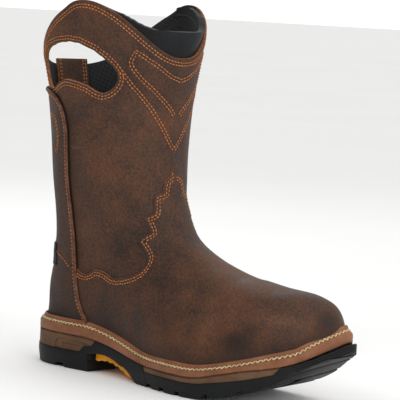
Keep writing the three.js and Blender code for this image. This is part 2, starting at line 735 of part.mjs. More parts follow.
const outsole = (() => {
  const HEEL_TAPER = 1.5;
  const BALL_TAPER = 2;
  const heel = layer(0, () => 0, blackTopZ, -HEEL_TAPER);
  const heelCut = prism([[-FAR, -FAR], [breast - 3, -FAR], [breast + 3, FAR / 4], [-FAR, FAR / 4]]);
  const taper = (x) => -BALL_TAPER * (1 - smooth((x / LENGTH - 0.8) / 0.12));
  const front = layer(0, treadZ, blackTopZ, taper);
  const slope = [3, -3, -7, -13, -21].map((ahead) => [archEnd + ahead, archUnder(archEnd + ahead)]);
  const high = [[slope.at(-1)[0], HEEL_SEAT * 1.5], [FAR, FAR / 4], [FAR, -FAR]];
  const frontCut = prism([[archEnd + 3, -FAR], ...slope, ...high]);
  const arch = sideways(archUnder, (x) => archUnder(x) + ARCH_PLATE, breast - 2, archEnd - 19);
  const web = sideways(() => HEEL_BLOCK - LUG, (x) => archUnder(x) + ARCH_PLATE, wallStart, breast + 1);
  const wallFoot = (x) => (x < wallStart ? blackTopZ(x) : Math.max(blackTopZ(x), archUnder(x))) - 2;
  const walls = wallRing(0, -SIDE_WALL, wallFoot, (x) => weltZ(x) - GAP);
  const plates = arch.add(web).intersect(plan(-1));
  const body = heel.intersect(heelCut).add(front.intersect(frontCut)).add(plates).subtract(tread);
  return body.add(walls.intersect(wallZones(0))).subtract(toeRibs);
})();

const midsole = (() => {
  const inset = 0.5;
  const plate = layer(-inset, (x) => blackTopZ(x) + GAP, (x) => weltZ(x) - GAP);
  const walls = wallRing(SIDE_WALL, -SIDE_WALL - GAP, () => -FAR, () => FAR);
  const overArch = sideways(() => -FAR, (x) => archUnder(x) + ARCH_PLATE + GAP, wallStart - GAP, archEnd - 17);
  const panel = prism(heightened(HEEL_PANEL)).subtract(plan(-inset - PANEL_DEPTH));
  const pocket = prism(heightened(HEEL_POCKET)).subtract(plan(-inset - POCKET_DEPTH));
  return plate.subtract(walls.intersect(wallZones(GAP))).subtract(overArch).subtract(panel).subtract(pocket);
})();

const welt = (() => {
  const lipOut = (x) => edgeAt(x) - OVERLAY - GAP * 2 - LIP_WIDTH;
  const reach = (x) => -0.2 - WELT_BACK * smooth((x / LENGTH - 0.93) / 0.07);
  const outline = grown(sole, reach);
  const base = grown(sole, (x) => -lipOut(x));
  const at = (ring, height) => ring.map((p, i) => new THREE.Vector3(p.x, p.y, height(sprung(p.x, p.y), i)));
  const seatAt = feather.map((p) => seatZ(sprung(p.x, p.y)));
  const ledge = at(outline, (x, i) => seatAt[i] - LEDGE_DROP);
  const rim = at(base, (x, i) => seatAt[i]);
  const shoulder = solid(loft([at(outline, () => -FAR), ledge, rim, at(base, () => FAR)]));
  const band = layer(1, weltZ, (x) => seatZ(x) + LIP_RISE).intersect(shoulder);
  const inside = layer((x) => -lipOut(x) - LIP_WIDTH, seatZ, () => FAR);
  return band.subtract(inside).subtract(plan(-EDGE - WELT_REACH)).subtract(form(GAP * 2 + OVERLAY));
})();

const insole = (() => {
  const fill = layer(-EDGE - WELT_REACH - GAP, weltZ, (x) => seatZ(x) + 1);
  const bed = layer((x) => -edgeAt(x) - WALL - 2, (x) => seatZ(x) + GAP, (x) => seatZ(x) + 4);
  return fill.add(bed).intersect(form(-WALL - GAP, 12, true));
})();

const archInsert = (() => {
  const SCALLOPS = 7;
  const INSERT_DEPTH = 8;
  const LOWEST = 2.5; // it stays this far off the floor
  const ribs = [];
  const from = breast + 3.5;
  const to = archEnd - 9;
  for (let i = 0; i <= SCALLOPS * 4; i += 1) {
    const x = from + ((to - from) * i) / (SCALLOPS * 4);
    const ripple = [1.6, 0, -0.6, 0][i % 4];
    ribs.push([x, Math.max(archUnder(x) - INSERT_DEPTH, LOWEST) + ripple]);
  }
  const block = sideways(() => -FAR, (x) => archUnder(x) - GAP, from, to).intersect(plan(-SIDE_WALL - GAP));
  return block.intersect(prism([...ribs, [to, FAR], [from, FAR]]));
})();

// Cord over each side seam
const shoulder = 0.62 * CORD_RISE;
const cordSection = [
  [-CORD, GAP],
  [CORD, GAP],
  [CORD, shoulder],
  [CORD / 2, CORD_RISE],
  [-CORD / 2, CORD_RISE],
  [-CORD, shoulder],
];
const belowLip = sideways(() => -FAR, (x) => seatZ(x) + LIP_RISE + GAP, ...ENDS);
const cord = (side) => seamSweep(cordSection, SEAM_STEPS, side).subtract(form(GAP)).subtract(belowLip);

const group = new THREE.Group();

function add(name, body, colour) {
  const mesh = body.getMesh();
  const geometry = new THREE.BufferGeometry();
  geometry.setAttribute("position", new THREE.BufferAttribute(Float32Array.from(mesh.vertProperties), 3));
  geometry.setIndex([...mesh.triVerts]);
  geometry.computeVertexNormals();
  const node = new THREE.Mesh(geometry, new THREE.MeshStandardMaterial({ color: colour, roughness: 0.8 }));
  node.name = name;
  group.add(node);
}

add("outsole", outsole, "#1d1d1e");
add("arch_insert", archInsert, "#d9971f");
add("midsole", midsole, "#6d5a44");
add("welt", welt, "#a9785a");
add("insole", insole, "#3a3a3c");
add("upper", upper, "#5a3a28");
add("vamp_overlay", vamp, "#4a3022");
add("heel_counter", counter, "#4a3022");
add("back_panel", backPanel, "#4a3022");
add("side_seam_cord_outer", cord(-1), "#b07a4a");
add("side_seam_cord_inner", cord(1), "#b07a4a");
add("collar_padding", collar, "#2b2c30");
add("pull_strap", strap, "#5a3a28");
add("heel_tab", tab, "#202124");

// Frame: on the floor, centred in plan
const bounds = new THREE.Box3().setFromObject(group);
const middle = bounds.getCenter(new THREE.Vector3());
for (const node of group.children) node.geometry.translate(-middle.x, -middle.y, -bounds.min.z);

export default group;
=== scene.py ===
# Pull-on leather work boot, right foot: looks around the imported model
import math
import random
import bmesh
import bpy
import numpy as np
from mathutils import Matrix, Vector, kdtree, noise
from mathutils.geometry import delaunay_2d_cdt


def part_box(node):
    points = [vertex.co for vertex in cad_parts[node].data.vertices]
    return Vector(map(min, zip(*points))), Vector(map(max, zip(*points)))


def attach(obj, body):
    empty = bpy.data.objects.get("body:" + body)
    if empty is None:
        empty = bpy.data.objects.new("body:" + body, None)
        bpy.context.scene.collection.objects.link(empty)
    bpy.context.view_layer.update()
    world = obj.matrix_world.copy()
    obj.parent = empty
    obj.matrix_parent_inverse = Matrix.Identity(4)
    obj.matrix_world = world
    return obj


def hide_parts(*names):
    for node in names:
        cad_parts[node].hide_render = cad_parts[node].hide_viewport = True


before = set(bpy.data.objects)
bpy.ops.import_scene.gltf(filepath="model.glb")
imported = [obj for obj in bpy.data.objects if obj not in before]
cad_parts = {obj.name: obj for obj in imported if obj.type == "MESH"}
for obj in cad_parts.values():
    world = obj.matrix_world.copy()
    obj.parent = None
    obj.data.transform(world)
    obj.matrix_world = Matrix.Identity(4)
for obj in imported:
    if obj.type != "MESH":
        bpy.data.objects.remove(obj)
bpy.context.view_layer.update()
random.seed(7)
print("frame loaded")

# the last, in millimetres: heel rear at x = 0, toe along +x, outer side along -y
last = {
    "length": 312.0, "ballWidth": 106.0, "height": 310.0, "heelSeat": 38.5, "ballSeat": 23.7,
    "toeSpring": 36.0, "lastSpring": 33.0, "ballSink": 1.2, "toeSlant": 6.0, "toeLead": 0.16,
    "wall": 2.2, "overlay": 1.4, "gap": 0.3, "edge": 7.5, "toeEdge": 4.0,
    "weltHeel": 10.0, "weltBall": 7.2, "midsoleBall": 4.8, "heelBlock": 15.0, "lug": 5.0,
    "archStart": 0.265, "archEnd": 0.46, "ballAt": 0.63,
    "tableLength": 312.0, "tableBall": 106.0, "tableHeight": 313.0, "tableSeat": 41.0,
}
sx = last["length"] / last["tableLength"]
sy = last["ballWidth"] / last["tableBall"]
sz = (last["height"] - last["heelSeat"]) / (last["tableHeight"] - last["tableSeat"])

# distance from the heel rear, reach to the outer and to the inner side
soleRows = [
    (3, 17, 16), (10, 27, 26), (25, 36, 35), (45, 39, 38), (80, 38, 36), (115, 39, 34), (150, 46, 36.5),
    (185, 54, 43.5), (215, 56, 50), (245, 53, 50.5), (275, 45, 47), (292, 38, 43), (304, 29, 36),
    (310, 17, 25),
]
# ends on the centre line, their heights above the seat, how far the row follows the sole, half-widths
widthAt = [0, 0.12, 0.27, 0.42, 0.58, 0.73, 0.88, 1]
sectionRows = [
    (5, 302, 9, 12, 1, 20, 32.5, 31.5, 44.5, 44.5, 29),
    (5, 297, 18, 27, 0.95, 20, 34, 33.5, 43, 42.5, 27),
    (5, 286, 27, 41, 0.8, 19.5, 34.5, 35, 41, 37.5, 22.5),
    (7, 254, 37, 53.5, 0.55, 19, 34, 35, 37.5, 33, 19),
    (10, 217, 47, 61, 0.35, 18.5, 33.5, 36, 35.5, 28.5, 16),
    (12, 183, 58, 69.5, 0.2, 18.5, 33.5, 37, 35.5, 26, 14),
    (15, 156, 72, 81.5, 0.1, 19, 34.5, 39, 37.5, 27.5, 14.5),
    (15.5, 140, 92, 104.5, 0.05, 19.5, 36.5, 43, 42, 31, 15.5),
    (12, 133.5, 122, 130.5, 0, 20, 39, 48, 47.5, 36, 17.5),
    (6.5, 132, 158, 163.5, 0, 19.5, 39.5, 50.5, 50, 38.6, 19),
    (2, 134, 193, 198.5, 0, 21, 43, 55, 54, 41.3, 20.2),
    (-4, 138, 228, 230.5, 0, 24, 48.5, 61, 60, 46, 22.4),
    (-7, 141, 283.5, 283.5, 0, 25, 50, 64.5, 63, 48.8, 23.9),
]
# seen from the side, x and height
topline = [(-12, 256), (6, 259), (20, 273), (34, 287), (46, 296.5), (59, 304.5), (70, 311), (80, 313),
           (90, 312),
           (101, 308), (112, 301), (123, 290), (131, 279), (137, 270), (152, 262)]
pullHole = [(25, 256), (31, 268), (47, 275), (62, 277.5), (76, 277), (90, 272), (102, 263), (108, 254),
            (106, 245),
            (99, 238), (92, 237), (84, 241), (70, 245), (55, 245.5), (44, 241), (36, 237), (29, 239),
            (25, 247)]
seam = [(76, 38.8), (74, 43), (67.5, 56), (63, 72), (60, 91), (59, 120), (58.5, 150), (57.5, 190),
        (56, 211), (50, 225),
        (39, 232.5), (24, 235.5), (12, 236)]


def curveThrough(xs, ys):
    xs = np.asarray(xs, float)
    ys = np.asarray(ys, float)
    flat = ys.reshape(len(xs), -1)
    step = np.diff(xs)[:, None]
    rise = np.diff(flat, axis=0) / step
    slope = np.empty_like(flat)
    if len(xs) == 2:
        slope[:] = rise[0]
    else:
        slope[1:-1] = (step[1:] * rise[:-1] + step[:-1] * rise[1:]) / (step[:-1] + step[1:])
        slope[0] = ((2 * step[0] + step[1]) * rise[0] - step[0] * rise[1]) / (step[0] + step[1])
        slope[-1] = ((2 * step[-1] + step[-2]) * rise[-1] - step[-1] * rise[-2]) / (step[-1] + step[-2])

    def at(x):
        x = np.atleast_1d(np.asarray(x, float))
        i = np.clip(np.searchsorted(xs, x, "left") - 1, 0, len(xs) - 2)
        h = step[i]
        t = np.clip((x[:, None] - xs[i][:, None]) / h, 0, 1)
        value = flat[i] * (1 + 2 * t) * (1 - t) ** 2 + slope[i] * h * t * (1 - t) ** 2
        value += flat[i + 1] * t * t * (3 - 2 * t) + slope[i + 1] * h * t * t * (t - 1)
        return value.reshape((len(x),) + ys.shape[1:])
    return at


def smooth(t):
    c = np.clip(t, 0, 1)
    return c * c * (3 - 2 * c)


# distance along a line of points, zero at its start
def runAlong(points):
    return np.concatenate([[0], np.cumsum(np.linalg.norm(np.diff(points, axis=0), axis=1))])


# toe spring: place along the boot, then the rise of the tread, black layer, welt band and seat
springRows = [
    (0.63, 0, 0, 0, 0), (0.7, 0.03, 0.02, 0.03, 0.03), (0.77, 0.115, 0.125, 0.17, 0.15),
    (0.84, 0.26, 0.25, 0.32, 0.305), (0.9, 0.46, 0.39, 0.425, 0.455), (0.945, 0.67, 0.52, 0.515, 0.56),
    (0.98, 0.9, 0.67, 0.615, 0.655), (1.005, 1.045, 0.79, 0.73, 0.82), (1.045, 1.25, 1.03, 1.04, 1.14),
]
springCurve = curveThrough([row[0] * last["length"] for row in springRows],
                           [[last["toeSpring"] * rise for rise in row[1:]] for row in springRows])


def springRise(x, which):
    x = np.asarray(x, float)
    rise = springCurve(x.ravel())[:, which].reshape(x.shape)
    return np.where(x > last["ballAt"] * last["length"], rise, 0.0)


# the toe turns up sooner toward the inner side
def lead(y):
    return last["toeLead"] * (np.asarray(y, float) + 0.38 * last["ballWidth"])


def sprung(x, y):
    return np.where(np.asarray(x) < 0.55 * last["length"], x, x + lead(y))


def archShare(x):
    return smooth((x / last["length"] - 0.22) / 0.30)


def treadZ(x):
    return springRise(x, 0)


def blackTopZ(x):
    ball = last["ballSeat"] - last["weltBall"] - last["midsoleBall"]
    return last["heelBlock"] + (ball - last["heelBlock"]) * archShare(x) + springRise(x, 1)


def weltZ(x):
    heel, ball = last["heelSeat"] - last["weltHeel"], last["ballSeat"] - last["weltBall"]
    return heel + (ball - heel) * archShare(x) + springRise(x, 2)


def seatZ(x):
    return last["heelSeat"] + (last["ballSeat"] - last["heelSeat"]) * archShare(x) + springRise(x, 3)


def lastZ(x):
    spring = last["lastSpring"] * np.maximum((x / last["length"] - last["ballAt"]) / (1 - last["ballAt"]),
                                             0) ** 2
    ball = last["ballSeat"] - last["ballSink"]
    return last["heelSeat"] + (ball - last["heelSeat"]) * archShare(x) + spring


def slanted(x, y):
    return x + last["toeSlant"] * smooth((x / last["length"] - 0.55) / 0.45) * y / (last["ballWidth"] / 3)


angleAt = [0] + [math.acos(1 - 2 * row[0] / last["tableLength"]) / math.pi for row in soleRows] + [1]
outerReach = curveThrough(angleAt, [0] + [row[1] for row in soleRows] + [0])
innerReach = curveThrough(angleAt, [0] + [row[2] for row in soleRows] + [0])
swing = curveThrough([row[0] * sx for row in soleRows], [sy * (row[2] - row[1]) / 2 for row in soleRows])


def soleRing(count):
    at = np.arange(count) * 2 / count
    share = np.where(at <= 1, at, 2 - at)
    x = last["length"] * (1 - np.cos(math.pi * share)) / 2
    y = sy * np.where(at <= 1, -outerReach(share), innerReach(share))
    return np.stack([slanted(x, y), y], 1)


def ringNormals(ring):
    along = np.roll(ring, -1, 0) - np.roll(ring, 1, 0)
    along /= np.linalg.norm(along, axis=1)[:, None]
    return np.stack([along[:, 1], -along[:, 0]], 1)


def grown(ring, reach):
    distance = reach(ring[:, 0]) if callable(reach) else reach
    return ring + ringNormals(ring) * np.broadcast_to(distance, len(ring))[:, None]


def edgeAt(x):
    return last["edge"] + last["toeEdge"] * smooth((x / last["length"] - 0.85) / 0.15)


# skin of the upper as a fine grid: up the boot, around it, xyz
aroundCount = 640
upCount = 460
around = np.arange(aroundCount) * 2 / aroundCount
shareRound = np.where(around <= 1, around, 2 - around)
featherRing = grown(soleRing(aroundCount), lambda x: -edgeAt(x))
keyRows = [np.column_stack([featherRing, seatZ(sprung(featherRing[:, 0], featherRing[:, 1])) - 2])]
for row in sectionRows:
    backX, frontX, backUp, frontUp, follow = row[:5]
    along = (1 - np.cos(math.pi * shareRound)) / 2
    straight = sx * (backX + (frontX - backX) * along)
    halfWidth = curveThrough(widthAt, [0] + list(row[5:]) + [0])(shareRound)
    across = np.where(around <= 1, -1, 1) * sy * halfWidth + follow * swing(straight)
    forward = straight + follow * (slanted(straight, across) - straight)
    base = follow * lastZ(sprung(forward, across)) + (1 - follow) * last["heelSeat"]
    keyRows.append(np.column_stack([forward, across, base + sz * (backUp + (frontUp - backUp) * along)]))
keyRows = np.array(keyRows)
knots = np.concatenate([[0], np.cumsum(np.linalg.norm(np.diff(keyRows[:, ::20], axis=0), axis=2).mean(1))])
upAt = np.linspace(0, knots[-1], upCount)
skin = curveThrough(knots, keyRows)(upAt)
skinNormal = np.cross(np.roll(skin, -1, 1) - np.roll(skin, 1, 1), np.gradient(skin, axis=0))
skinNormal /= np.linalg.norm(skinNormal, axis=2)[:, :, None]
girth = np.linalg.norm(np.roll(skin, -1, 1) - skin, axis=2).sum(1)

# from the last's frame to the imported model's
coarseRing = soleRing(32)
toRow = np.array([-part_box("outsole")[0][0] * 1000, coarseRing[:, 1].min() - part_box("outsole")[0][1] * 1000,
                  0.0])


def toModel(points):
    return (np.asarray(points, float) - toRow) / 1000


def fromGrid(grid, a, q):
    i = (np.asarray(a, float) % 2) * aroundCount / 2
    j = np.clip(np.asarray(q, float) / upAt[1], 0, upCount - 1.001)
    i0 = np.floor(i).astype(int)
    j0 = np.floor(j).astype(int)
    s = (i - i0)[:, None]
    t = (j - j0)[:, None]
    i0 %= aroundCount
    i1 = (i0 + 1) % aroundCount
    low = grid[j0, i0] * (1 - s) + grid[j0, i1] * s
    high = grid[j0 + 1, i0] * (1 - s) + grid[j0 + 1, i1] * s
    return low * (1 - t) + high * t


def normalAt(a, q):
    normal = fromGrid(skinNormal, a, q)
    return normal / np.linalg.norm(normal, axis=1)[:, None]


# folds and swells of the leather: a line seen from the side, how deep, how wide
creases = [
    {"line": [(128, 78), (137, 92), (140, 104)], "depth": -0.9, "width": 6, "side": 0},
    {"line": [(118, 92), (131, 106), (135, 118)], "depth": 0.8, "width": 7, "side": 0},
    {"line": [(108, 108), (124, 122), (131, 136)], "depth": -0.7, "width": 6, "side": 0},
    {"line": [(122, 150), (121, 185), (123, 215)], "depth": 0.9, "width": 7, "side": -1},
    {"line": [(131, 140), (131, 170), (131, 196)], "depth": -0.8, "width": 6, "side": 0},
    {"line": [(232, 62), (240, 50), (243, 38)], "depth": -0.7, "width": 9, "side": 0},
    {"line": [(60, 70), (84, 82), (104, 98)], "depth": -0.5, "width": 9, "side": -1},
    {"line": [(190, 60), (196, 48), (198, 36)], "depth": -0.45, "width": 9, "side": 0},
]


def sideView(p):
    return np.stack([p[..., 0], p[..., 2]], -1)


def frontView(p):
    return np.stack([(p[..., 0] - np.abs(p[..., 1])) / math.sqrt(2), p[..., 2]], -1)


def rearView(p):
    return np.stack([(p[..., 0] + np.abs(p[..., 1])) / math.sqrt(2), p[..., 2]], -1)


def onSkin(a, q, lift=0.0):
    a = np.asarray(a, float)
    normal = normalAt(a, q)
    return fromGrid(skin, a, q) + normal * np.broadcast_to(lift, len(normal))[:, None]


# around and up on the skin, of points seen in a flat view of one half: side -1 outer, 1 inner
def locate(points, view, side):
    middle = aroundCount // 2
    half = np.arange(0, middle + 1) if side < 0 else np.arange(middle, aroundCount + 1) % aroundCount
    aHalf = np.linspace(0, 1, len(half)) if side < 0 else np.linspace(1, 2, len(half))
    flat = view(skin[:, half])
    found = []
    for point in np.asarray(points, float):
        j, i = np.unravel_index(np.argmin(((flat - point) ** 2).sum(2)), flat.shape[:2])
        a, q = aHalf[i], upAt[j]
        for _ in range(5):
            here = view(onSkin([a], [q]))[0]
            da = (view(onSkin([a + 1e-3], [q]))[0] - view(onSkin([a - 1e-3], [q]))[0]) / 2e-3
            dq = view(onSkin([a], [q + 0.5]))[0] - view(onSkin([a], [q - 0.5]))[0]
            step = np.linalg.lstsq(np.array([da, dq]).T, point - here, rcond=0.05)[0]
            a = float(np.clip(a + np.clip(step[0], -0.02, 0.02), aHalf[0], aHalf[-1]))
            q = float(np.clip(q + np.clip(step[1], -4, 4), 0, upAt[-1]))
        found.append((a, q))
    return np.array(found)


# from the side-view tables to the last's own size
def tableUp(z):
    return last["heelSeat"] + (z - last["tableSeat"]) * sz


def sized(points):
    return [(x * sx, tableUp(z)) for x, z in points]


# even steps along a line through the points; corners stay sharp
def evenLine(points, spacing, closed=False, corners=()):
    points = np.asarray(points, float)
    if closed:
        points = np.vstack([points[-3:], points, points[:3]])
    ends = [0] + [i for i in sorted(corners) if 0 < i < len(points) - 1] + [len(points) - 1]
    line = []
    for first, final in zip(ends[:-1], ends[1:]):
        part = points[first:final + 1]
        chord = np.concatenate([[0], np.cumsum(np.linalg.norm(np.diff(part, axis=0), axis=1) ** 0.5)])
        dense = curveThrough(chord, part)(np.linspace(0, chord[-1], 40 * len(part)))
        if closed:
            dense = curveThrough(chord, part)(np.linspace(chord[3], chord[-3], 60 * len(part)))[:-1]
        run = runAlong(dense)
        count = max(int(round(run[-1] / spacing)), 1)
        marks = np.linspace(0, run[-1], count + 1)[:-1]
        line.append(np.stack([np.interp(marks, run, dense[:, k]) for k in range(part.shape[1])], 1))
    if not closed:
        line.append(points[-1:])
    return np.vstack(line)


def treeOf(points):
    tree = kdtree.KDTree(len(points))
    for i, p in enumerate(points):
        tree.insert(p, i)
    tree.balance()
    return tree


def nearness(tree, points):
    return np.array([tree.find(p)[2] for p in points])


creaseTrees = []
for crease in creases:
    for side in (-1, 1):
        if crease["side"] in (0, side):
            spots = locate(evenLine(sized(crease["line"]), 3), sideView, side)
            creaseTrees.append((treeOf(onSkin(spots[:, 0], spots[:, 1])), crease["depth"], crease["width"]))

toeCap = {"from": 236, "swell": 0.9, "edge": 9}
hide = {"swell": 0.35, "scale": 0.018}


# how far the leather stands off the plain last at a point of the skin, nothing where it meets the welt
def relief(points):
    height = np.zeros(len(points))
    for tree, depth, width in creaseTrees:
        height += depth * np.exp(-(nearness(tree, points) / width) ** 2)
    x, z = points[:, 0], points[:, 2]
    height += toeCap["swell"] * smooth((x - toeCap["from"] + 0.25 * (z - 40)) / toeCap["edge"]) * (x > 150)
    height += hide["swell"] * np.array([noise.noise(Vector(p) * hide["scale"]) for p in points])
    aboveWelt = smooth((z - seatZ(sprung(x, points[:, 1])) - 2) / 8)
    return height * aboveWelt


def onLeather(a, q, lift=0.0):
    base = fromGrid(skin, a, q)
    return base + normalAt(a, q) * (np.broadcast_to(lift, len(base)) + relief(base))[:, None]


# moves a line on the skin sideways by millimetres: to the left of its run, seen from outside
def shifted(line, distance):
    line = np.array(line, float)
    steps = max(int(abs(distance) / 1.5), 1)
    for _ in range(steps):
        line[:, 1] = np.clip(line[:, 1], 0.6, upAt[-1] - 0.6)
        p = onSkin(line[:, 0], line[:, 1])
        normal = normalAt(line[:, 0], line[:, 1])
        along = np.gradient(p, axis=0)
        sideways = np.cross(normal, along)
        sideways /= np.linalg.norm(sideways, axis=1)[:, None] + 1e-9
        da = (onSkin(line[:, 0] + 1e-3, line[:, 1]) - onSkin(line[:, 0] - 1e-3, line[:, 1])) / 2e-3
        dq = onSkin(line[:, 0], line[:, 1] + 0.5) - onSkin(line[:, 0], line[:, 1] - 0.5)
        aa, qq, aq = (da * da).sum(1), (dq * dq).sum(1), (da * dq).sum(1)
        ta, tq = (da * sideways).sum(1), (dq * sideways).sum(1)
        det = aa * qq - aq * aq
        move = distance / steps
        line = line + move * np.stack([(ta * qq - tq * aq) / det, (tq * aa - ta * aq) / det], 1)
    return line


print("last ready")


def selectOnly(obj):
    bpy.ops.object.select_all(action="DESELECT")
    obj.select_set(True)
    bpy.context.view_layer.objects.active = obj


def applyAll(obj):
    selectOnly(obj)
    for modifier in list(obj.modifiers):
        bpy.ops.object.modifier_apply(modifier=modifier.name)


# merges points that lie together, then does the steps given
def welded(obj, nearer, *steps):
    work = bmesh.new()
    work.from_mesh(obj.data)
    bmesh.ops.remove_doubles(work, verts=work.verts, dist=nearer)
    for step in steps:
        step(work)
    work.to_mesh(obj.data)
    work.free()
    return obj


def newMesh(name, points, faces, materials=(), smoothAll=True):
    mesh = bpy.data.meshes.new(name)
    mesh.from_pydata([tuple(p) for p in toModel(points)], [], [tuple(f) for f in faces])
    mesh.update()
    for material in materials:
        mesh.materials.append(material)
    if smoothAll:
        mesh.polygons.foreach_set("use_smooth", [True] * len(mesh.polygons))
    obj = bpy.data.objects.new(name, mesh)
    bpy.context.scene.collection.objects.link(obj)
    return obj


def modifier(obj, kind, **settings):
    made = obj.modifiers.new(kind.lower(), kind)
    for key, value in settings.items():
        setattr(made, key, value)
    return made


def insideLoops(points, loops):
    inside = np.zeros(len(points), bool)
    for loop in loops:
        nxt = np.roll(loop, -1, 0)
        for (x0, y0), (x1, y1) in zip(loop, nxt):
            if y0 == y1:
                continue
            crosses = (y0 > points[:, 1]) != (y1 > points[:, 1])
            inside ^= crosses & (points[:, 0] < (x1 - x0) * (points[:, 1] - y0) / (y1 - y0) + x0)
    return inside


domainWidth = 250.0  # millimetres that one half round the boot stands for when a patch is laid flat


# a piece of leather on the skin: closed loops in (around, up), a lattice of points between them
def leatherPatch(loops, spacing, extra=()):
    flatLoops = [loop * [domainWidth, 1] for loop in loops]
    edge = np.vstack(loops)
    edgeTree = treeOf(onSkin(edge[:, 0], edge[:, 1]))
    lowest, highest = edge.min(0), edge.max(0)
    lattice = []
    rowNumber = 0
    for q in np.arange(lowest[1], highest[1], spacing * 0.9):
        ring = np.interp(q, upAt, girth)
        step = 2 * spacing / ring
        lattice.append([(a, q) for a in np.arange(lowest[0] + (rowNumber % 2) * step / 2, highest[0], step)])
        rowNumber += 1
    lattice = np.array([p for row in lattice for p in row])
    lattice = lattice[insideLoops(lattice * [domainWidth, 1], flatLoops)]
    if len(extra):
        extra = np.vstack(extra)
        extra = extra[insideLoops(extra * [domainWidth, 1], flatLoops)]
        extra = extra[nearness(edgeTree, onSkin(extra[:, 0], extra[:, 1])) > 0.5]
        extraTree = treeOf(onSkin(extra[:, 0], extra[:, 1]))
        lattice = lattice[nearness(extraTree, onSkin(lattice[:, 0], lattice[:, 1])) > spacing * 0.55]
    lattice = lattice[nearness(edgeTree, onSkin(lattice[:, 0], lattice[:, 1])) > spacing * 0.55]
    if len(extra):
        lattice = np.vstack([extra, lattice])
    points = np.vstack([edge, lattice])
    edges = []
    start = 0
    for loop in loops:
        count = len(loop)
        edges += [(start + i, start + (i + 1) % count) for i in range(count)]
        start += count
    flat = points * [domainWidth, 1]
    found = delaunay_2d_cdt([Vector(p) for p in flat], edges, [], 0, 1e-7)
    spots = np.array([tuple(p) for p in found[0]])
    faces = np.array(found[2])
    faces = faces[insideLoops(spots[faces].mean(1), flatLoops)]
    return spots / [domainWidth, 1], faces


# leather sewn on: a patch of a stated thickness, dipped along its stitch rows, with softened edges
def sewnPiece(name, loops, spacing, lift, thickness, materials, rows=(), dip=0.35, bevel=0.35, extra=(),
              bulge=None):
    spots, faces = leatherPatch(loops, spacing, extra)
    height = np.full(len(spots), float(lift))
    base = fromGrid(skin, spots[:, 0], spots[:, 1])
    if len(rows):
        rowTree = treeOf(np.vstack([fromGrid(skin, r[:, 0], r[:, 1]) for r in rows]))
        height -= dip * np.exp(-(nearness(rowTree, base) / 1.0) ** 2)
    if bulge:
        height += bulge(base)
    obj = newMesh(name, onLeather(spots[:, 0], spots[:, 1], height), faces, materials)
    welded(obj, 2e-5)
    modifier(obj, "SOLIDIFY", thickness=thickness / 1000, offset=-1, use_even_offset=False,
             material_offset=1 if len(materials) > 1 else 0,
             material_offset_rim=2 if len(materials) > 2 else 0)
    modifier(obj, "BEVEL", width=bevel / 1000, segments=2, limit_method="ANGLE", angle_limit=math.radians(50),
             harden_normals=False)
    applyAll(obj)
    return obj


# colour, and one node at a time
def colour(code, strength=1.0):
    parts = [int(code[i:i + 2], 16) / 255 for i in (1, 3, 5)]
    linear = [c / 12.92 if c <= 0.04045 else ((c + 0.055) / 1.055) ** 2.4 for c in parts]
    return (*[c * strength for c in linear], 1)


def node(tree, kind, inputs=(), **settings):
    made = tree.nodes.new(kind)
    for key, value in settings.items():
        setattr(made, key, value)
    for socket, value in dict(inputs).items():
        if isinstance(value, bpy.types.NodeSocket):
            tree.links.new(value, made.inputs[socket])
        else:
            made.inputs[socket].default_value = value
    return made


def finish(name, roughness=0.7, **shader):
    material = bpy.data.materials.new(name)
    material.use_nodes = True
    tree = material.node_tree
    tree.nodes.clear()
    surface = node(tree, "ShaderNodeBsdfPrincipled", {"Roughness": roughness, **shader})
    output = node(tree, "ShaderNodeOutputMaterial")
    tree.links.new(surface.outputs[0], output.inputs[0])
    place = node(tree, "ShaderNodeTexCoord").outputs["Object"]
    return material, tree, surface, place


def ramp(tree, value, stops):
    made = node(tree, "ShaderNodeValToRGB", {0: value})
    elements = made.color_ramp.elements
    while len(elements) < len(stops):
        elements.new(0.5)
    for element, (at, shade) in zip(elements, stops):
        element.position = at
        element.color = shade if not isinstance(shade, (int, float)) else (shade, shade, shade, 1)
    return made.outputs[0]


# waxed pull-up leather: dark umber wax over an orange-brown hide, with a fine two-toned grain and a dull bloom
leatherLook = {
    "smudgeAndShade": "#1d191a", "dark": "#33231a", "middle": "#452e22", "warm": "#563623", "pale": "#6b4b37",
    "roughness": 0.6, "broad": 11.0, "cloud": 55.0, "speck": 560.0, "grain": 420.0, "grainDepth": 0.0006,
}


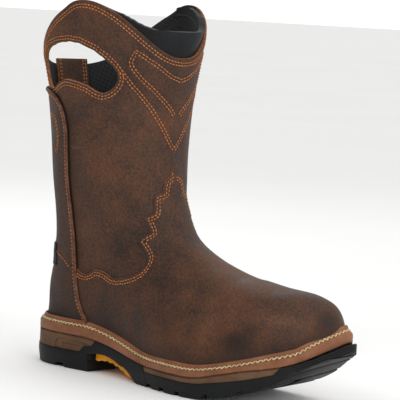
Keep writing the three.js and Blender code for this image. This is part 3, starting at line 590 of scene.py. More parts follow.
def waxedLeather(name, look, warmth=0.5):
    material, tree, surface, place = finish(name, look["roughness"])
    surface.inputs["Specular IOR Level"].default_value = 0.22
    broad = node(tree, "ShaderNodeTexNoise", {"Vector": place, "Scale": look["broad"], "Detail": 3.0,
                                              "Roughness": 0.55})
    cloud = node(tree, "ShaderNodeTexNoise", {"Vector": place, "Scale": look["cloud"], "Detail": 6.0,
                                              "Roughness": 0.65})
    speck = node(tree, "ShaderNodeTexNoise", {"Vector": place, "Scale": look["speck"], "Detail": 3.0,
                                              "Roughness": 0.8})
    shade = node(tree, "ShaderNodeMath", {0: broad.outputs[0], 1: 0.34, 2: (warmth - 0.5) * 0.2},
                 operation="MULTIPLY_ADD")
    for part, weight in ((cloud, 0.24), (speck, 0.42)):
        shade = node(tree, "ShaderNodeMath", {0: part.outputs[0], 1: weight, 2: shade.outputs[0]},
                     operation="MULTIPLY_ADD")
    base = ramp(tree, shade.outputs[0], [(0.36, colour(look["smudgeAndShade"])), (0.44, colour(look["dark"])),
                                         (0.50, colour(look["middle"])), (0.57, colour(look["warm"])),
                                         (0.68, colour(look["pale"]))])
    # painted shade and painted highlight: a per-vertex factor multiplies the leather colour, and where the
    # factor is low the colour is mixed toward the near-black smudge colour as deeper painted shade
    shadeAndWear = node(tree, "ShaderNodeAttribute", attribute_name="shadeAndWear").outputs["Fac"]
    shadedAndWorn = node(tree, "ShaderNodeVectorMath", {0: base, 1: shadeAndWear}, operation="MULTIPLY")
    smudgeAndShadeMix = node(tree, "ShaderNodeMapRange", {"Value": shadeAndWear, "From Min": 0.45, "From Max": 0.8,
                                                "To Min": 0.55, "To Max": 0.0})
    toned = node(tree, "ShaderNodeMix", {"Factor": smudgeAndShadeMix.outputs[0], 6: shadedAndWorn.outputs[0],
                                         7: colour(look["smudgeAndShade"])},
                 data_type="RGBA")
    # a few pale scratches
    stretched = node(tree, "ShaderNodeMapping", {"Vector": place, "Rotation": (0.4, 0.9, 0.3),
                                                 "Scale": (30.0, 260.0, 90.0)})
    scratches = node(tree, "ShaderNodeTexNoise", {"Vector": stretched.outputs[0], "Scale": 1.0,
                                                  "Detail": 3.0})
    scratchMask = ramp(tree, scratches.outputs[0], [(0.69, 0.0), (0.77, 0.35)])
    scratched = node(tree, "ShaderNodeMix", {"Factor": scratchMask, 6: toned.outputs[2],
                                             7: colour(look["pale"])},
                     data_type="RGBA")
    tree.links.new(scratched.outputs[2], surface.inputs["Base Color"])
    rough = node(tree, "ShaderNodeMapRange", {"Value": cloud.outputs[0], "From Min": 0.3, "From Max": 0.7,
                                              "To Min": look["roughness"] - 0.1,
                                              "To Max": look["roughness"] + 0.12})
    tree.links.new(rough.outputs[0], surface.inputs["Roughness"])
    grain = node(tree, "ShaderNodeTexNoise", {"Vector": place, "Scale": look["grain"], "Detail": 4.0,
                                              "Roughness": 0.7})
    bump = node(tree, "ShaderNodeBump", {"Strength": 0.3, "Distance": look["grainDepth"],
                                         "Height": grain.outputs[0]})
    wave = node(tree, "ShaderNodeBump", {"Strength": 0.2, "Distance": 0.002, "Height": cloud.outputs[0],
                                         "Normal": bump.outputs[0]})
    tree.links.new(wave.outputs[0], surface.inputs["Normal"])
    return material


# where the leather's colour is darkened or paled: painted shade near the welt, at the heel and on the inner
# side, a painted highlight on the toe cap, and a few darker and paler patches; place on the last, reach along
# it, across it and up, and how much
shadeAndWearSpots = [
    ((252, -42, 50), (13, 16, 9), -0.5), ((303, 6, 70), (8, 14, 10), -0.45),
    ((283, -30, 69), (17, 16, 4), 0.55),
    ((265, -40, 62), (9, 12, 7), -0.2), ((225, -50, 66), (28, 16, 14), 0.15),
    ((178, -50, 58), (16, 16, 14), -0.15),
    ((20, -30, 95), (34, 60, 70), -0.28), ((250, 45, 52), (14, 16, 10), -0.4),
    ((120, -60, 215), (30, 30, 25), 0.12),
]
# painted shade: the leather is darker toward the welt
weltShade = {"depth": 0.42, "height": 17.0}


# sets a colour factor per vertex: painted shade toward the welt, the painted shade and highlight spots, and a
# painted shade over the whole piece where the factor given is below one
def setShadeAndWear(obj, shadeFactor=1.0):
    count = len(obj.data.vertices)
    flat = np.empty(count * 3)
    obj.data.vertices.foreach_get("co", flat)
    p = flat.reshape(-1, 3) * 1000 + toRow
    rise = np.maximum(p[:, 2] - seatZ(sprung(p[:, 0], p[:, 1])), 0)
    value = shadeFactor * (1 - weltShade["depth"] * np.exp(-(rise / weltShade["height"]) ** 1.5))
    for centre, reach, amount in shadeAndWearSpots:
        value *= 1 + amount * np.exp(-(((p - centre) / reach) ** 2).sum(1))
    layer = obj.data.attributes.new("shadeAndWear", "FLOAT", "POINT")
    layer.data.foreach_set("value", value)


# plain finishes: two shades mixed by a noise of a stated size, a bump of another
def plainFinish(name, first, second, scale, roughness, bumpScale, bumpDepth, bumpStrength=0.4, **shader):
    material, tree, surface, place = finish(name, roughness, **shader)
    blotch = node(tree, "ShaderNodeTexNoise", {"Vector": place, "Scale": scale, "Detail": 4.0,
                                               "Roughness": 0.65})
    base = ramp(tree, blotch.outputs[0], [(0.38, colour(first)), (0.64, colour(second))])
    tree.links.new(base, surface.inputs["Base Color"])
    fine = node(tree, "ShaderNodeTexNoise", {"Vector": place, "Scale": bumpScale, "Detail": 3.0})
    bump = node(tree, "ShaderNodeBump", {"Strength": bumpStrength, "Distance": bumpDepth,
                                         "Height": fine.outputs[0]})
    tree.links.new(bump.outputs[0], surface.inputs["Normal"])
    return material


# woven or knitted cloth: two crossed bands of threads, coarse enough to show
def wovenCloth(name, first, second, pitch, roughness):
    material, tree, surface, place = finish(name, roughness)
    waves = []
    for turn in ((0.0, 0.7, 0.3), (1.57, 0.7, 0.3)):
        laid = node(tree, "ShaderNodeMapping", {"Vector": place, "Rotation": turn})
        waves.append(node(tree, "ShaderNodeTexWave", {"Vector": laid.outputs[0],
                                                      "Scale": 0.31 / pitch * 1000 / 6.28,
                                                      "Distortion": 0.6, "Detail": 1.0},
                          bands_direction="DIAGONAL"))
    crossed = node(tree, "ShaderNodeMath", {0: waves[0].outputs["Fac"], 1: waves[1].outputs["Fac"]},
                   operation="MAXIMUM")
    base = ramp(tree, crossed.outputs[0], [(0.3, colour(first)), (0.9, colour(second))])
    tree.links.new(base, surface.inputs["Base Color"])
    bump = node(tree, "ShaderNodeBump", {"Strength": 0.5, "Distance": 0.0004, "Height": crossed.outputs[0]})
    tree.links.new(bump.outputs[0], surface.inputs["Normal"])
    return material


# dark umber shaft, cloudy and nearly dull
leather = waxedLeather("waxed_pull_up_leather_shaft", leatherLook, 0.44)
# the same hide, rubbed warmer over the foot
leatherVamp = waxedLeather("waxed_pull_up_leather_vamp", leatherLook, 0.56)
dull = {"Specular IOR Level": 0.2}  # little gloss
# thin tan line where the hide is cut
rawEdge = plainFinish("cut_leather_edge", "#6b3f26", "#8f5a38", 300, 0.75, 900, 0.0003, **dull)
# painted shadow: near-black faces along the seam beads, on the side where they meet the shaft
beadShadow = plainFinish("painted_bead_shadow", "#100c0a", "#1a130f", 200, 0.8, 900, 0.0002, **dull)
# red-brown cord with a faint sheen
beadLeather = plainFinish("burnished_folded_leather", "#472a1c", "#6f4630", 180, 0.55, 700, 0.0003, **dull)
# black net seen through the pull holes
liningCloth = wovenCloth("black_mesh_lining", "#0b0b0c", "#1c1d1f", 0.45, 0.9)
# plain black, soft and even
collarCloth = plainFinish("smooth_laminated_foam_cloth", "#0d0e10", "#15161a", 60, 0.6, 2200, 0.00015, 0.25,
                          **dull)
# orange-tan stitches
threadTan = plainFinish("waxed_polyester_thread_tan", "#8a4f2b", "#b87b4b", 500, 0.55, 1500, 0.0002, **dull)
# pale stitches that stand out on the welt
threadCream = plainFinish("waxed_polyester_thread_cream", "#a8936c", "#d0bf98", 400, 0.6, 1500, 0.0002,
                          **dull)
# smooth tan band round the foot
weltLeather = plainFinish("pressed_storm_welt", "#744930", "#875a40", 40, 0.5, 900, 0.0002, 0.3, **dull)
# olive-brown layer, duller than the welt
midsoleFoam = plainFinish("moulded_foam_rubber_olive", "#553c2a", "#654a36", 60, 0.65, 700, 0.0003, **dull)
# matt black sole
blackRubber = plainFinish("moulded_black_rubber", "#0c0d0e", "#141517", 30, 0.55, 500, 0.0003, **dull)
# bright orange-yellow under the arch
yellowRubber = plainFinish("moulded_yellow_rubber", "#d98a10", "#f0a020", 60, 0.45, 500, 0.0003, **dull)
# black tape with a fine rib
wovenTape = wovenCloth("black_woven_tape", "#08090a", "#26272a", 0.8, 0.85)
# grey-black footbed
sockCloth = wovenCloth("black_sock_cloth", "#1a1a1c", "#37383b", 1.4, 0.9)
print("finishes ready")

pieces = []


def onBoot(obj, slot, *nodes):
    if nodes:
        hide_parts(*nodes)
    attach(obj, "root")
    pieces.append(obj)
    return obj


# stitches: thread lying in short capsules on a line, its ends sunk in the leather
stitchSize = {"pitch": 3.1, "length": 2.35, "width": 0.55, "height": 0.42, "sunk": 0.15, "wobble": 0.08}


def capsule(sides):
    profile = [(-0.5, 0.25, -0.9), (-0.38, 0.8, -0.25), (-0.15, 1.0, 0.1), (0.15, 1.0, 0.1),
               (0.38, 0.8, -0.25),
               (0.5, 0.25, -0.9)]
    points = []
    for along, wide, sink in profile:
        for k in range(sides):
            turn = 2 * math.pi * k / sides
            points.append((along, wide * math.cos(turn), wide * math.sin(turn) + sink))
    faces = []
    for r in range(len(profile) - 1):
        for k in range(sides):
            n = (k + 1) % sides
            faces.append((r * sides + k, (r + 1) * sides + k, (r + 1) * sides + n, r * sides + n))
    faces.append(tuple(range(sides)))
    faces.append(tuple(reversed(range((len(profile) - 1) * sides, len(profile) * sides))))
    return np.array(points), faces


threadShape, threadFaces = capsule(6)


# adds one stitch: its middle, the way it runs, the way out of the leather and its length
def layStitch(points, faces, size, middle, way, out, length):
    aside = np.cross(out, way)
    start = len(points)
    for along, wide, high in threadShape:
        points.append(middle + way * along * length + aside * wide * size["width"]
                      + out * (high * size["height"] + size["sunk"]))
    faces += [tuple(start + v for v in face) for face in threadFaces]


def stitchRun(name, lines):
    points, faces = [], []
    for centre, normal in lines:
        run = runAlong(centre)
        count = max(int(run[-1] / stitchSize["pitch"]), 1)
        for k in range(count):
            mid = (k + 0.5) * run[-1] / count
            half = stitchSize["length"] / 2
            first, here, final = (np.array([np.interp(mid + s, run, centre[:, d]) for d in range(3)])
                                  for s in (-half, 0, half))
            out = np.array([np.interp(mid, run, normal[:, d]) for d in range(3)])
            out /= np.linalg.norm(out)
            way = final - first
            way -= out * way.dot(out)
            way /= np.linalg.norm(way) + 1e-9
            wobble = 1 + stitchSize["wobble"] * (random.random() - 0.5)
            layStitch(points, faces, stitchSize, here, way, out, stitchSize["length"] * wobble)
    return onBoot(newMesh(name, points, faces, [threadTan]), "seam_cord")


def skinLine(line, lift, flip=False):
    normal = normalAt(line[:, 0], line[:, 1])
    return onLeather(line[:, 0], line[:, 1], lift), -normal if flip else normal


# rows beside an edge; parts of a row that come too near the edge at a corner are left out
def rowsBeside(edge, distances):
    tree = treeOf(onSkin(edge[:, 0], edge[:, 1]))
    rows = []
    for distance in distances:
        row = shifted(edge, distance)
        near = nearness(tree, onSkin(row[:, 0], row[:, 1]))
        rows.append(row[near > abs(distance) - 0.35])
    return rows


# upper
upperLook = {"spacing": 2.4, "rowGap": (3.6, 6.0), "holeRows": (2.2, 4.6)}
toplineCurve = curveThrough([p[0] for p in sized(topline)], [p[1] for p in sized(topline)])


def toplineUp(a):
    column = fromGrid(skin, np.repeat(a, upCount), np.tile(upAt, len(a))).reshape(len(a), upCount, 3)
    above = column[:, :, 2] - toplineCurve(column[:, :, 0].ravel()).reshape(column.shape[:2])
    found = []
    for line in above:
        j = int(np.argmax(line > 0))
        t = -line[j - 1] / (line[j] - line[j - 1])
        found.append(upAt[j - 1] + t * (upAt[j] - upAt[j - 1]))
    return np.array(found)


def seatUp(a, above):
    column = fromGrid(skin, np.repeat(a, upCount), np.tile(upAt, len(a))).reshape(len(a), upCount, 3)
    over = column[:, :, 2] - seatZ(sprung(column[:, :, 0], column[:, :, 1])) - above
    return np.array([upAt[int(np.argmax(line > 0))] for line in over])


def evenOnSkin(line, spacing, closed=False):
    line = np.vstack([line, line[:1]]) if closed else line
    p = onSkin(line[:, 0], line[:, 1])
    run = runAlong(p)
    marks = np.linspace(0, run[-1], max(int(run[-1] / spacing), 2) + 1)
    even = np.stack([np.interp(marks, run, line[:, k]) for k in (0, 1)], 1)
    return even[:-1] if closed else even


allRound = np.linspace(0, 2, 801)
toplineEdge = evenOnSkin(np.stack([allRound, toplineUp(allRound)], 1), 1.6)
upperFoot = evenOnSkin(np.stack([allRound, seatUp(allRound, 0.4)], 1), 2.4)
backSeamUp = np.arange(upperFoot[0, 1] + 2, toplineEdge[0, 1] - 1, 2.0)
upperLoop = np.vstack([upperFoot, np.stack([np.full(len(backSeamUp), 2.0), backSeamUp], 1), toplineEdge[::-1],
                       np.stack([np.zeros(len(backSeamUp)), backSeamUp[::-1]], 1)])
upperLoop[:len(upperFoot), 1][[0, -1]] = upperFoot[0, 1]
holeEdges = []
for side in (-1, 1):
    outline = locate(evenLine(sized(pullHole), 4, closed=True), sideView, side)
    holeEdges.append(evenOnSkin(outline, 1.5, closed=True))
print("upper outlines ready")

toplineRows = rowsBeside(toplineEdge, [-d for d in upperLook["rowGap"]])
holeRows = []
for edge, side in zip(holeEdges, (-1, 1)):
    middle = edge.mean(0)
    probe = shifted(np.vstack([edge, edge[:1]]), 1.0)[0]
    started, moved = (np.linalg.norm((spot - middle) * [domainWidth, 1]) for spot in (edge[0], probe))
    outward = 1 if moved > started else -1
    holeRows += rowsBeside(np.vstack([edge, edge[:1]]), [outward * d for d in upperLook["holeRows"]])

# the stitched points on the front of the shaft, x and height, corners by number
shaftRows = [
    {"line": [(117.8, 265.5), (121.1, 272.8), (131.4, 261.8), (134.6, 253.8), (135.4, 250.4)],
     "corners": (1,)},
    {"line": [(117.8, 265.5), (117.5, 262.2), (120.8, 254.1), (127.4, 242.7), (131.6, 231.4),
              (132.5, 221.5)], "corners": ()},
    {"line": [(110.1, 257.2), (117.7, 243.6), (124.4, 231.1), (129.7, 213.2), (132.0, 193.5)], "corners": ()},
]
shaftStitch = []
for side in (-1, 1):
    for spec in shaftRows:
        line = evenOnSkin(locate(evenLine(sized(spec["line"]), 3, corners=spec["corners"]), sideView, side),
                          1.2)
        for distance in (-1.25, 1.25):
            shaftStitch.append(shifted(line, distance))

upperExtra = [evenOnSkin(row, 1.6) for row in toplineRows + holeRows]
upperExtra += [evenOnSkin(shifted(row, d), 1.6) for row in toplineRows[:1] for d in (1.3, -1.2)]
upperObj = sewnPiece("boot_upper", [upperLoop] + holeEdges, upperLook["spacing"], 0, last["wall"],
                     [leather, liningCloth, rawEdge], rows=toplineRows + holeRows + shaftStitch,
                     extra=upperExtra)
setShadeAndWear(upperObj)
onBoot(upperObj, "shaft_leather", "upper")
print("upper", len(upperObj.data.polygons))

shaftThread = [skinLine(row, 0) for row in toplineRows + holeRows + shaftStitch]
stitchRun("shaft_stitching", shaftThread)
print("shaft stitching")

overlayLift = last["overlay"] + 0.15  # outer face of the pieces laid over the shaft
beadWidth = 1.9  # half the width of a seam bead
pastHeel = np.array([2, 0])  # carries places on the inner side back round the heel

# vamp laid over the shaft: edge seen from the front quarter; corners by number
vampLook = {
    "edge": [(95.0, 169.6), (92.5, 169.9), (87.6, 166.2), (86.0, 160.0), (86.2, 155.3), (78.8, 152.1),
             (79.5, 138.3),
             (71.8, 134.5), (78.3, 122.1), (67.4, 115.1), (74.0, 107.2), (76.5, 101.8), (73.4, 93.7),
             (66.8, 88.0),
             (56.1, 83.2), (48.0, 82.0), (39.9, 86.0), (32.4, 86.2), (27.4, 81.6), (23.0, 81.4),
             (17.0, 84.9)],
    "corners": (4, 5, 6, 7, 8, 9, 17), "rows": (2.3, 4.6), "spacing": 2.6,
}
seamLines = {}
for side in (-1, 1):
    seamLines[side] = evenOnSkin(locate(evenLine(sized(seam), 3), sideView, side), 1.5)


# the part of a side seam under a height, or above it where the height is negative
def seamAt(side, height):
    line = seamLines[side]
    z = fromGrid(skin, line[:, 0], line[:, 1])[:, 2]
    return line[z < height] if height > 0 else line[z >= -height]


def clearOfSeam(line, side, way):
    tree = treeOf(onSkin(seamLines[side][:, 0], seamLines[side][:, 1]))
    keep = nearness(tree, onSkin(line[:, 0], line[:, 1])) > way
    return line[keep]


def footEdge(first, final):
    at = np.linspace(first, final, 400)
    return evenOnSkin(np.stack([at, seatUp(at % 2, 0.4)], 1), 2.4)


vampEdges = {}
for side in (-1, 1):
    line = locate(evenLine(vampLook["edge"], 1.6, corners=vampLook["corners"]), frontView, side)
    vampEdges[side] = clearOfSeam(line, side, beadWidth - 0.2)
outerSeam = shifted(seamAt(-1, 84), -beadWidth)
innerSeam = shifted(seamAt(1, 84), beadWidth)
vampFoot = footEdge(outerSeam[0, 0], innerSeam[0, 0])
vampLoop = np.vstack([vampEdges[-1][::-1][:-1], vampEdges[1][1:], innerSeam[::-1][:-1],
                      vampFoot[::-1][1:-1], outerSeam[1:]])
vampRows = rowsBeside(vampEdges[-1], vampLook["rows"]) + rowsBeside(vampEdges[1],
                                                                    [-d for d in vampLook["rows"]])
print("vamp outline ready")
vampObj = sewnPiece("vamp", [vampLoop], vampLook["spacing"], overlayLift, last["overlay"],
                    [leatherVamp, leatherVamp, rawEdge], rows=vampRows,
                    extra=[evenOnSkin(r, 1.6) for r in vampRows])
setShadeAndWear(vampObj)
onBoot(vampObj, "panel_leather", "vamp_overlay")
stitchRun("vamp_stitching", [skinLine(row, overlayLift) for row in vampRows])
print("vamp", len(vampObj.data.polygons))

# heel counter and back panel, seen from the rear quarter
counterLook = {
    "edge": [(-16, 111), (7, 111), (20, 109), (31, 105.5), (40, 98.5), (54.8, 92.5), (62.5, 86)],
    "rows": (2.0,),
    "spacing": 2.6,
}


def rearLine(points, side):
    found = locate(evenLine(points, 1.6), rearView, side)
    if side > 0:
        found = found - pastHeel
    middle = found[:, 0] * (1 if side < 0 else -1)
    return found[middle > 0.004]


counterEdges = {side: clearOfSeam(rearLine(counterLook["edge"], side), side,
                                  beadWidth - 0.2) for side in (-1, 1)}
outerSeamBack = shifted(seamAt(-1, 88), beadWidth)
innerSeamBack = shifted(seamAt(1, 88), -beadWidth) - pastHeel
counterFoot = footEdge(innerSeamBack[0, 0], outerSeamBack[0, 0])
counterLoop = np.vstack([counterEdges[1][::-1], counterEdges[-1], outerSeamBack[::-1][1:],
                         counterFoot[::-1][1:-1],
                         innerSeamBack[:-1]])
counterRows = rowsBeside(np.vstack([counterEdges[1][::-1], counterEdges[-1]]),
                         [-d for d in counterLook["rows"]])
counterObj = sewnPiece("heel_counter_leather", [counterLoop], counterLook["spacing"], overlayLift,
                       last["overlay"], [leatherVamp, leatherVamp, rawEdge], rows=counterRows)
# painted shade: the heel counter is darkened by a tenth
setShadeAndWear(counterObj, 0.9)
onBoot(counterObj, "panel_leather", "heel_counter")

panelSeamOuter = shifted(seamAt(-1, -90), beadWidth)
panelSeamInner = shifted(seamAt(1, -90), -beadWidth) - pastHeel
panelSeamOuter = panelSeamOuter[panelSeamOuter[:, 0] > 0.01]
panelSeamInner = panelSeamInner[panelSeamInner[:, 0] < -0.01]
counterTop = shifted(np.vstack([counterEdges[1][::-1], counterEdges[-1]]), 0.5)
panelLoop = np.vstack([counterTop, panelSeamOuter[1:], panelSeamInner[::-1][:-1]])
panelLook = {
    "row": [(26, 214), (36, 214), (42, 207), (43.5, 194), (39, 183)], "rowGap": 1.1, "beadGap": 1.2,
    "dip": 0.4,
}
panelStitchRows = []
for side, turned in ((-1, 0), (1, 1)):
    row = locate(evenLine(sized(panelLook["row"]), 3), sideView, side) - turned * pastHeel
    panelStitchRows += [shifted(row, distance) for distance in (-panelLook["rowGap"], panelLook["rowGap"])]
beadReach = beadWidth + panelLook["beadGap"]
beadRows = [shifted(seamLines[-1], beadReach), shifted(seamLines[1], -beadReach) - pastHeel]
panelObj = sewnPiece("shaft_back_panel", [panelLoop], counterLook["spacing"], overlayLift, last["overlay"],
                     [leather, leather, rawEdge], rows=panelStitchRows + beadRows, dip=panelLook["dip"])
# painted shade: the back panel is darkened a little
setShadeAndWear(panelObj, 0.95)
onBoot(panelObj, "panel_leather", "back_panel")
backThread = [skinLine(row, overlayLift) for row in counterRows + panelStitchRows + beadRows]
stitchRun("back_stitching", backThread)
print("heel counter and back panel")


# swept pieces: a section carried along a line of points with a normal at each
def sweep(name, centre, normal, section, materials, bands=None):
    along = np.gradient(centre, axis=0)
    along /= np.linalg.norm(along, axis=1)[:, None]
    aside = np.cross(normal, along)
    aside /= np.linalg.norm(aside, axis=1)[:, None]
    out = np.cross(along, aside)
    count, size = len(centre), len(section)
    points = [centre[k] + aside[k] * s + out[k] * n for k in range(count) for s, n in section]
    faces, marks = [], []
    for k in range(count - 1):
        low, high = k * size, (k + 1) * size
        for i in range(size):
            j = (i + 1) % size
            faces.append((low + i, low + j, high + j, high + i))
            marks.append(bands[i] if bands else 0)
    faces.append(tuple(reversed(range(size))))
    faces.append(tuple(range((count - 1) * size, count * size)))
    obj = newMesh(name, points, faces, materials)
    obj.data.polygons.foreach_set("material_index", marks + [0, 0])
    return obj


def oriented(obj):
    return welded(obj, 1e-6, lambda work: bmesh.ops.recalc_face_normals(work, faces=work.faces))


# bead over each side seam: a folded edge, with a painted shadow where it meets the shaft
beadLook = {"middle": 1.2, "rise": 3.3, "steps": 14}
for side, part, cadNode in ((-1, "outer", "side_seam_cord_outer"), (1, "inner", "side_seam_cord_inner")):
    line = seamLines[side]
    z = fromGrid(skin, line[:, 0], line[:, 1])
    line = line[z[:, 2] > seatZ(sprung(z[:, 0], z[:, 1])) + 1.5]
    centre, normal = skinLine(line, 0)
    turn = np.linspace(0, 2 * math.pi, beadLook["steps"], endpoint=False)
    reach = beadLook["rise"] - beadLook["middle"]
    ring = [(beadWidth * math.cos(t), beadLook["middle"] + reach * math.sin(t)) for t in turn]
    # painted shadow: the bead's faces turned toward the shaft on one side take the near-black finish
    dark = [1 if (math.cos(t + 0.2) * side > 0.35 and math.sin(t) < 0.75) else 0 for t in turn]
    bead = sweep("side_seam_bead_" + part, centre, normal, ring, [beadLeather, beadShadow], bands=dark)
    onBoot(oriented(bead), "seam_cord", cadNode)
print("seam beads")

# padded collar in the front scoop
collarLook = {
    "top": [(70, 309.5), (84, 311), (96, 309), (110, 304), (119, 299), (125, 294.5), (131, 292),
            (134, 291.5)],
    "low": [(136, 244), (117, 244), (114, 262), (104, 279), (90, 288), (76, 297)],
    "thick": 5.0, "spacing": 3.0, "edge": 2.1, "rim": 7.0, "rimRound": 0.8, "fill": 0.6,
}
insideLift = -last["wall"] - last["gap"]  # outer face of what lies against the inside of the upper


def collarPart(points, side):
    return locate(evenLine(sized(points), 2.0), sideView, side)


def untilFront(line, side):
    keep = line[:, 0] < 0.995 if side < 0 else line[:, 0] > 1.005
    return line[keep]


topOuter, topInner = (untilFront(collarPart(collarLook["top"], s), s) for s in (-1, 1))
lowOuter, lowInner = (untilFront(collarPart(collarLook["low"], s), s) for s in (-1, 1))
collarLoop = np.vstack([topOuter, topInner[::-1], lowInner[::-1], lowOuter])


def collarSwell(points):
    over = points[:, 2] - toplineCurve(points[:, 0])
    return 1.6 * smooth(over / 14) * smooth((34 - over) / 20)


collarObj = sewnPiece("padded_collar", [collarLoop], collarLook["spacing"], insideLift, collarLook["thick"],
                      [collarCloth], bevel=collarLook["edge"], bulge=collarSwell)
onBoot(collarObj, "collar_fabric", "collar_padding")
rimLine = shifted(np.vstack([topOuter, topInner[::-1]]), -collarLook["rim"])
rimCentre, rimNormal = skinLine(evenOnSkin(rimLine, 2.0), insideLift - collarLook["thick"], flip=True)
rimTurn = np.linspace(0, 2 * math.pi, 8, endpoint=False)
rimRing = [(collarLook["rimRound"] * math.cos(t), collarLook["rimRound"] * math.sin(t)) for t in rimTurn]
rimSeam = sweep("collar_rim_piping", rimCentre, rimNormal, rimRing, [wovenTape])
onBoot(oriented(rimSeam), "collar_fabric")
print("collar")

# pull strap inside the back of the shaft
strapLook = {"width": 38.0, "top": 262.0, "low": 205.0, "thick": 2.6, "rows": (2.4, 5.0)}
strapTop = tableUp(strapLook["top"])
strapLow = tableUp(strapLook["low"])


def strapSide(y):
    side = -1 if y < 0 else 1
    line = []
    for z in np.arange(strapLow, strapTop + 0.1, 1.8):
        back = (skin[:, :, 0] < 45) & (np.sign(skin[:, :, 1]) == side)
        miss = (skin[:, :, 1] - y) ** 2 + (skin[:, :, 2] - z) ** 2 + np.where(back, 0, 1e6)
        j, i = np.unravel_index(np.argmin(miss), miss.shape)
        line.append((around[i] if side < 0 else around[i] - 2, upAt[j]))
    line = np.array(line)
    fit = np.polyfit(line[:, 1], line[:, 0], 3)
    return np.stack([np.polyval(fit, line[:, 1]), line[:, 1]], 1)


strapOuter, strapInner = strapSide(-strapLook["width"] / 2), strapSide(strapLook["width"] / 2)
strapLoop = np.vstack([strapOuter, np.linspace(strapOuter[-1], strapInner[-1], 20)[1:-1], strapInner[::-1],
                       np.linspace(strapInner[0], strapOuter[0], 20)[1:-1]])
strapObj = sewnPiece("pull_strap_leather", [strapLoop], 3.0, insideLift, strapLook["thick"],
                     [leather, leather, rawEdge], bevel=0.5)
setShadeAndWear(strapObj)
onBoot(strapObj, "shaft_leather", "pull_strap")
strapThread = []
for distance in strapLook["rows"]:
    for row in (shifted(strapOuter, distance), shifted(strapInner, -distance)):
        strapThread.append(skinLine(row, insideLift - strapLook["thick"], flip=True))
stitchRun("strap_stitching", strapThread)
print("pull strap")

# folded tape caught in the counter's top edge, plain
tabLook = {"shape": [(32, 86), (42, 86), (42, 105), (32, 105)], "thick": 1.0}
tabCorners = [(a, tableUp(z)) for a, z in tabLook["shape"]]
tabLoop = locate(evenLine(tabCorners + tabCorners[:1], 1.2, corners=(1, 2, 3))[:-1], rearView, -1)
tabObj = sewnPiece("woven_heel_tab", [tabLoop], 1.6, last["overlay"] + 0.35 + tabLook["thick"],
                   tabLook["thick"],
                   [wovenTape], bevel=0.3)
onBoot(tabObj, "tab_fabric", "heel_tab")
print("heel tab")

# sole: solids over the outline, cut by sheets seen from the side
ringCount = 300
soleFine = soleRing(ringCount)


def loftRings(name, stack, materials=()):
    size = len(stack[0])
    points = np.vstack(stack)
    faces = []
    for k in range(len(stack) - 1):
        for i in range(size):
            j = (i + 1) % size
            faces.append((k * size + i, k * size + j, (k + 1) * size + j, (k + 1) * size + i))
    faces.append(tuple(reversed(range(size))))
    faces.append(tuple(range((len(stack) - 1) * size, len(stack) * size)))
    return newMesh(name, points, faces, materials, smoothAll=False)


def overPlan(reach, low=None):
    ring, foot = grown(soleFine, reach), grown(soleFine, reach if low is None else low)
    at = lambda r, z: np.column_stack([r, np.broadcast_to(np.asarray(z, float), len(r))])
    if low is None:
        return loftRings("plan", [at(ring, -60), at(ring, 160)])
    tread = treadZ(sprung(foot[:, 0], foot[:, 1]))
    return loftRings("plan", [at(foot, -60), at(foot, tread), at(ring, tread + 10), at(ring, 160)])


# body seen from the side as an outline, across from one y to another; oblique beyond the ball if asked
def across(outline, y0=-70, y1=70, oblique=False):
    outline = np.asarray(outline, float)
    area = (outline[:, 0] * np.roll(outline[:, 1], -1) - np.roll(outline[:, 0], -1) * outline[:, 1]).sum()
    if area < 0:
        outline = outline[::-1]
    count = len(outline)
    shear = lambda x, y: x - lead(y) if oblique and x >= last["ballAt"] * last["length"] else x
    points = [(shear(x, y), y, z) for y in (y0, y1) for x, z in outline]
    faces = [tuple(range(count)), tuple(reversed(range(count, 2 * count)))]
    faces += [(i, count + i, count + (i + 1) % count, (i + 1) % count) for i in range(count)]
    return newMesh("across", points, faces, smoothAll=False)


sheetStep = 3.0
pastToe = 343  # where the side grooves' cutting sheets end


def sheetBetween(bottom, top, first, final):
    xs = np.linspace(first, final, max(int((final - first) / sheetStep), 2) + 1)
    flat = (xs > (0.53 * last["length"])) & (xs < last["ballAt"] * last["length"])
    xs = xs[~flat]
    lowSide = [(x, bottom(x)) for x in xs]
    highSide = [(x, top(x)) for x in xs[::-1]]
    return across([(x, float(np.ravel(z)[0])) for x, z in lowSide + highSide], oblique=True)


def block(x0, x1, y0, y1, z0, z1):
    return across([(x0, z0), (x1, z0), (x1, z1), (x0, z1)], y0, y1)


def joined(body, other, way, keep=False):
    modifier(body, "BOOLEAN", operation=way, solver="MANIFOLD", object=other)
    applyAll(body)
    if not keep:
        bpy.data.objects.remove(other)
    return body


def soleLayer(reach, bottom, top, low=None):
    return joined(overPlan(reach, low), sheetBetween(bottom, top, -60, 1.1 * last["length"]), "INTERSECT")


# outlines on the side of the sole, as shares of the length and of the heel seat's height
archRows = [(0.256, 0.44), (0.276, 0.455), (0.308, 0.49), (0.356, 0.436), (0.401, 0.3), (0.436, 0.15),
            (0.452, 0.04), (0.481, 0)]
archWallRear = [(0.215, 0.3), (0.228, 0.416), (0.2455, 0.545), (0.2715, 0.571), (0.285, 0.7), (0.298, 0.85)]
archWallFront = [(0.493, 0.46), (0.508, 0.24)]
toeWall = [(0.913, 0.6), (0.917, 0.68), (0.945, 0.98)]


def onSide(points):
    return [(x * last["length"], z * last["heelSeat"]) for x, z in points]


archUnder = curveThrough([p[0] for p in onSide(archRows)], [p[1] for p in onSide(archRows)])
breast = last["archStart"] * last["length"]
archStop = last["archEnd"] * last["length"]
wallStart = breast - 5


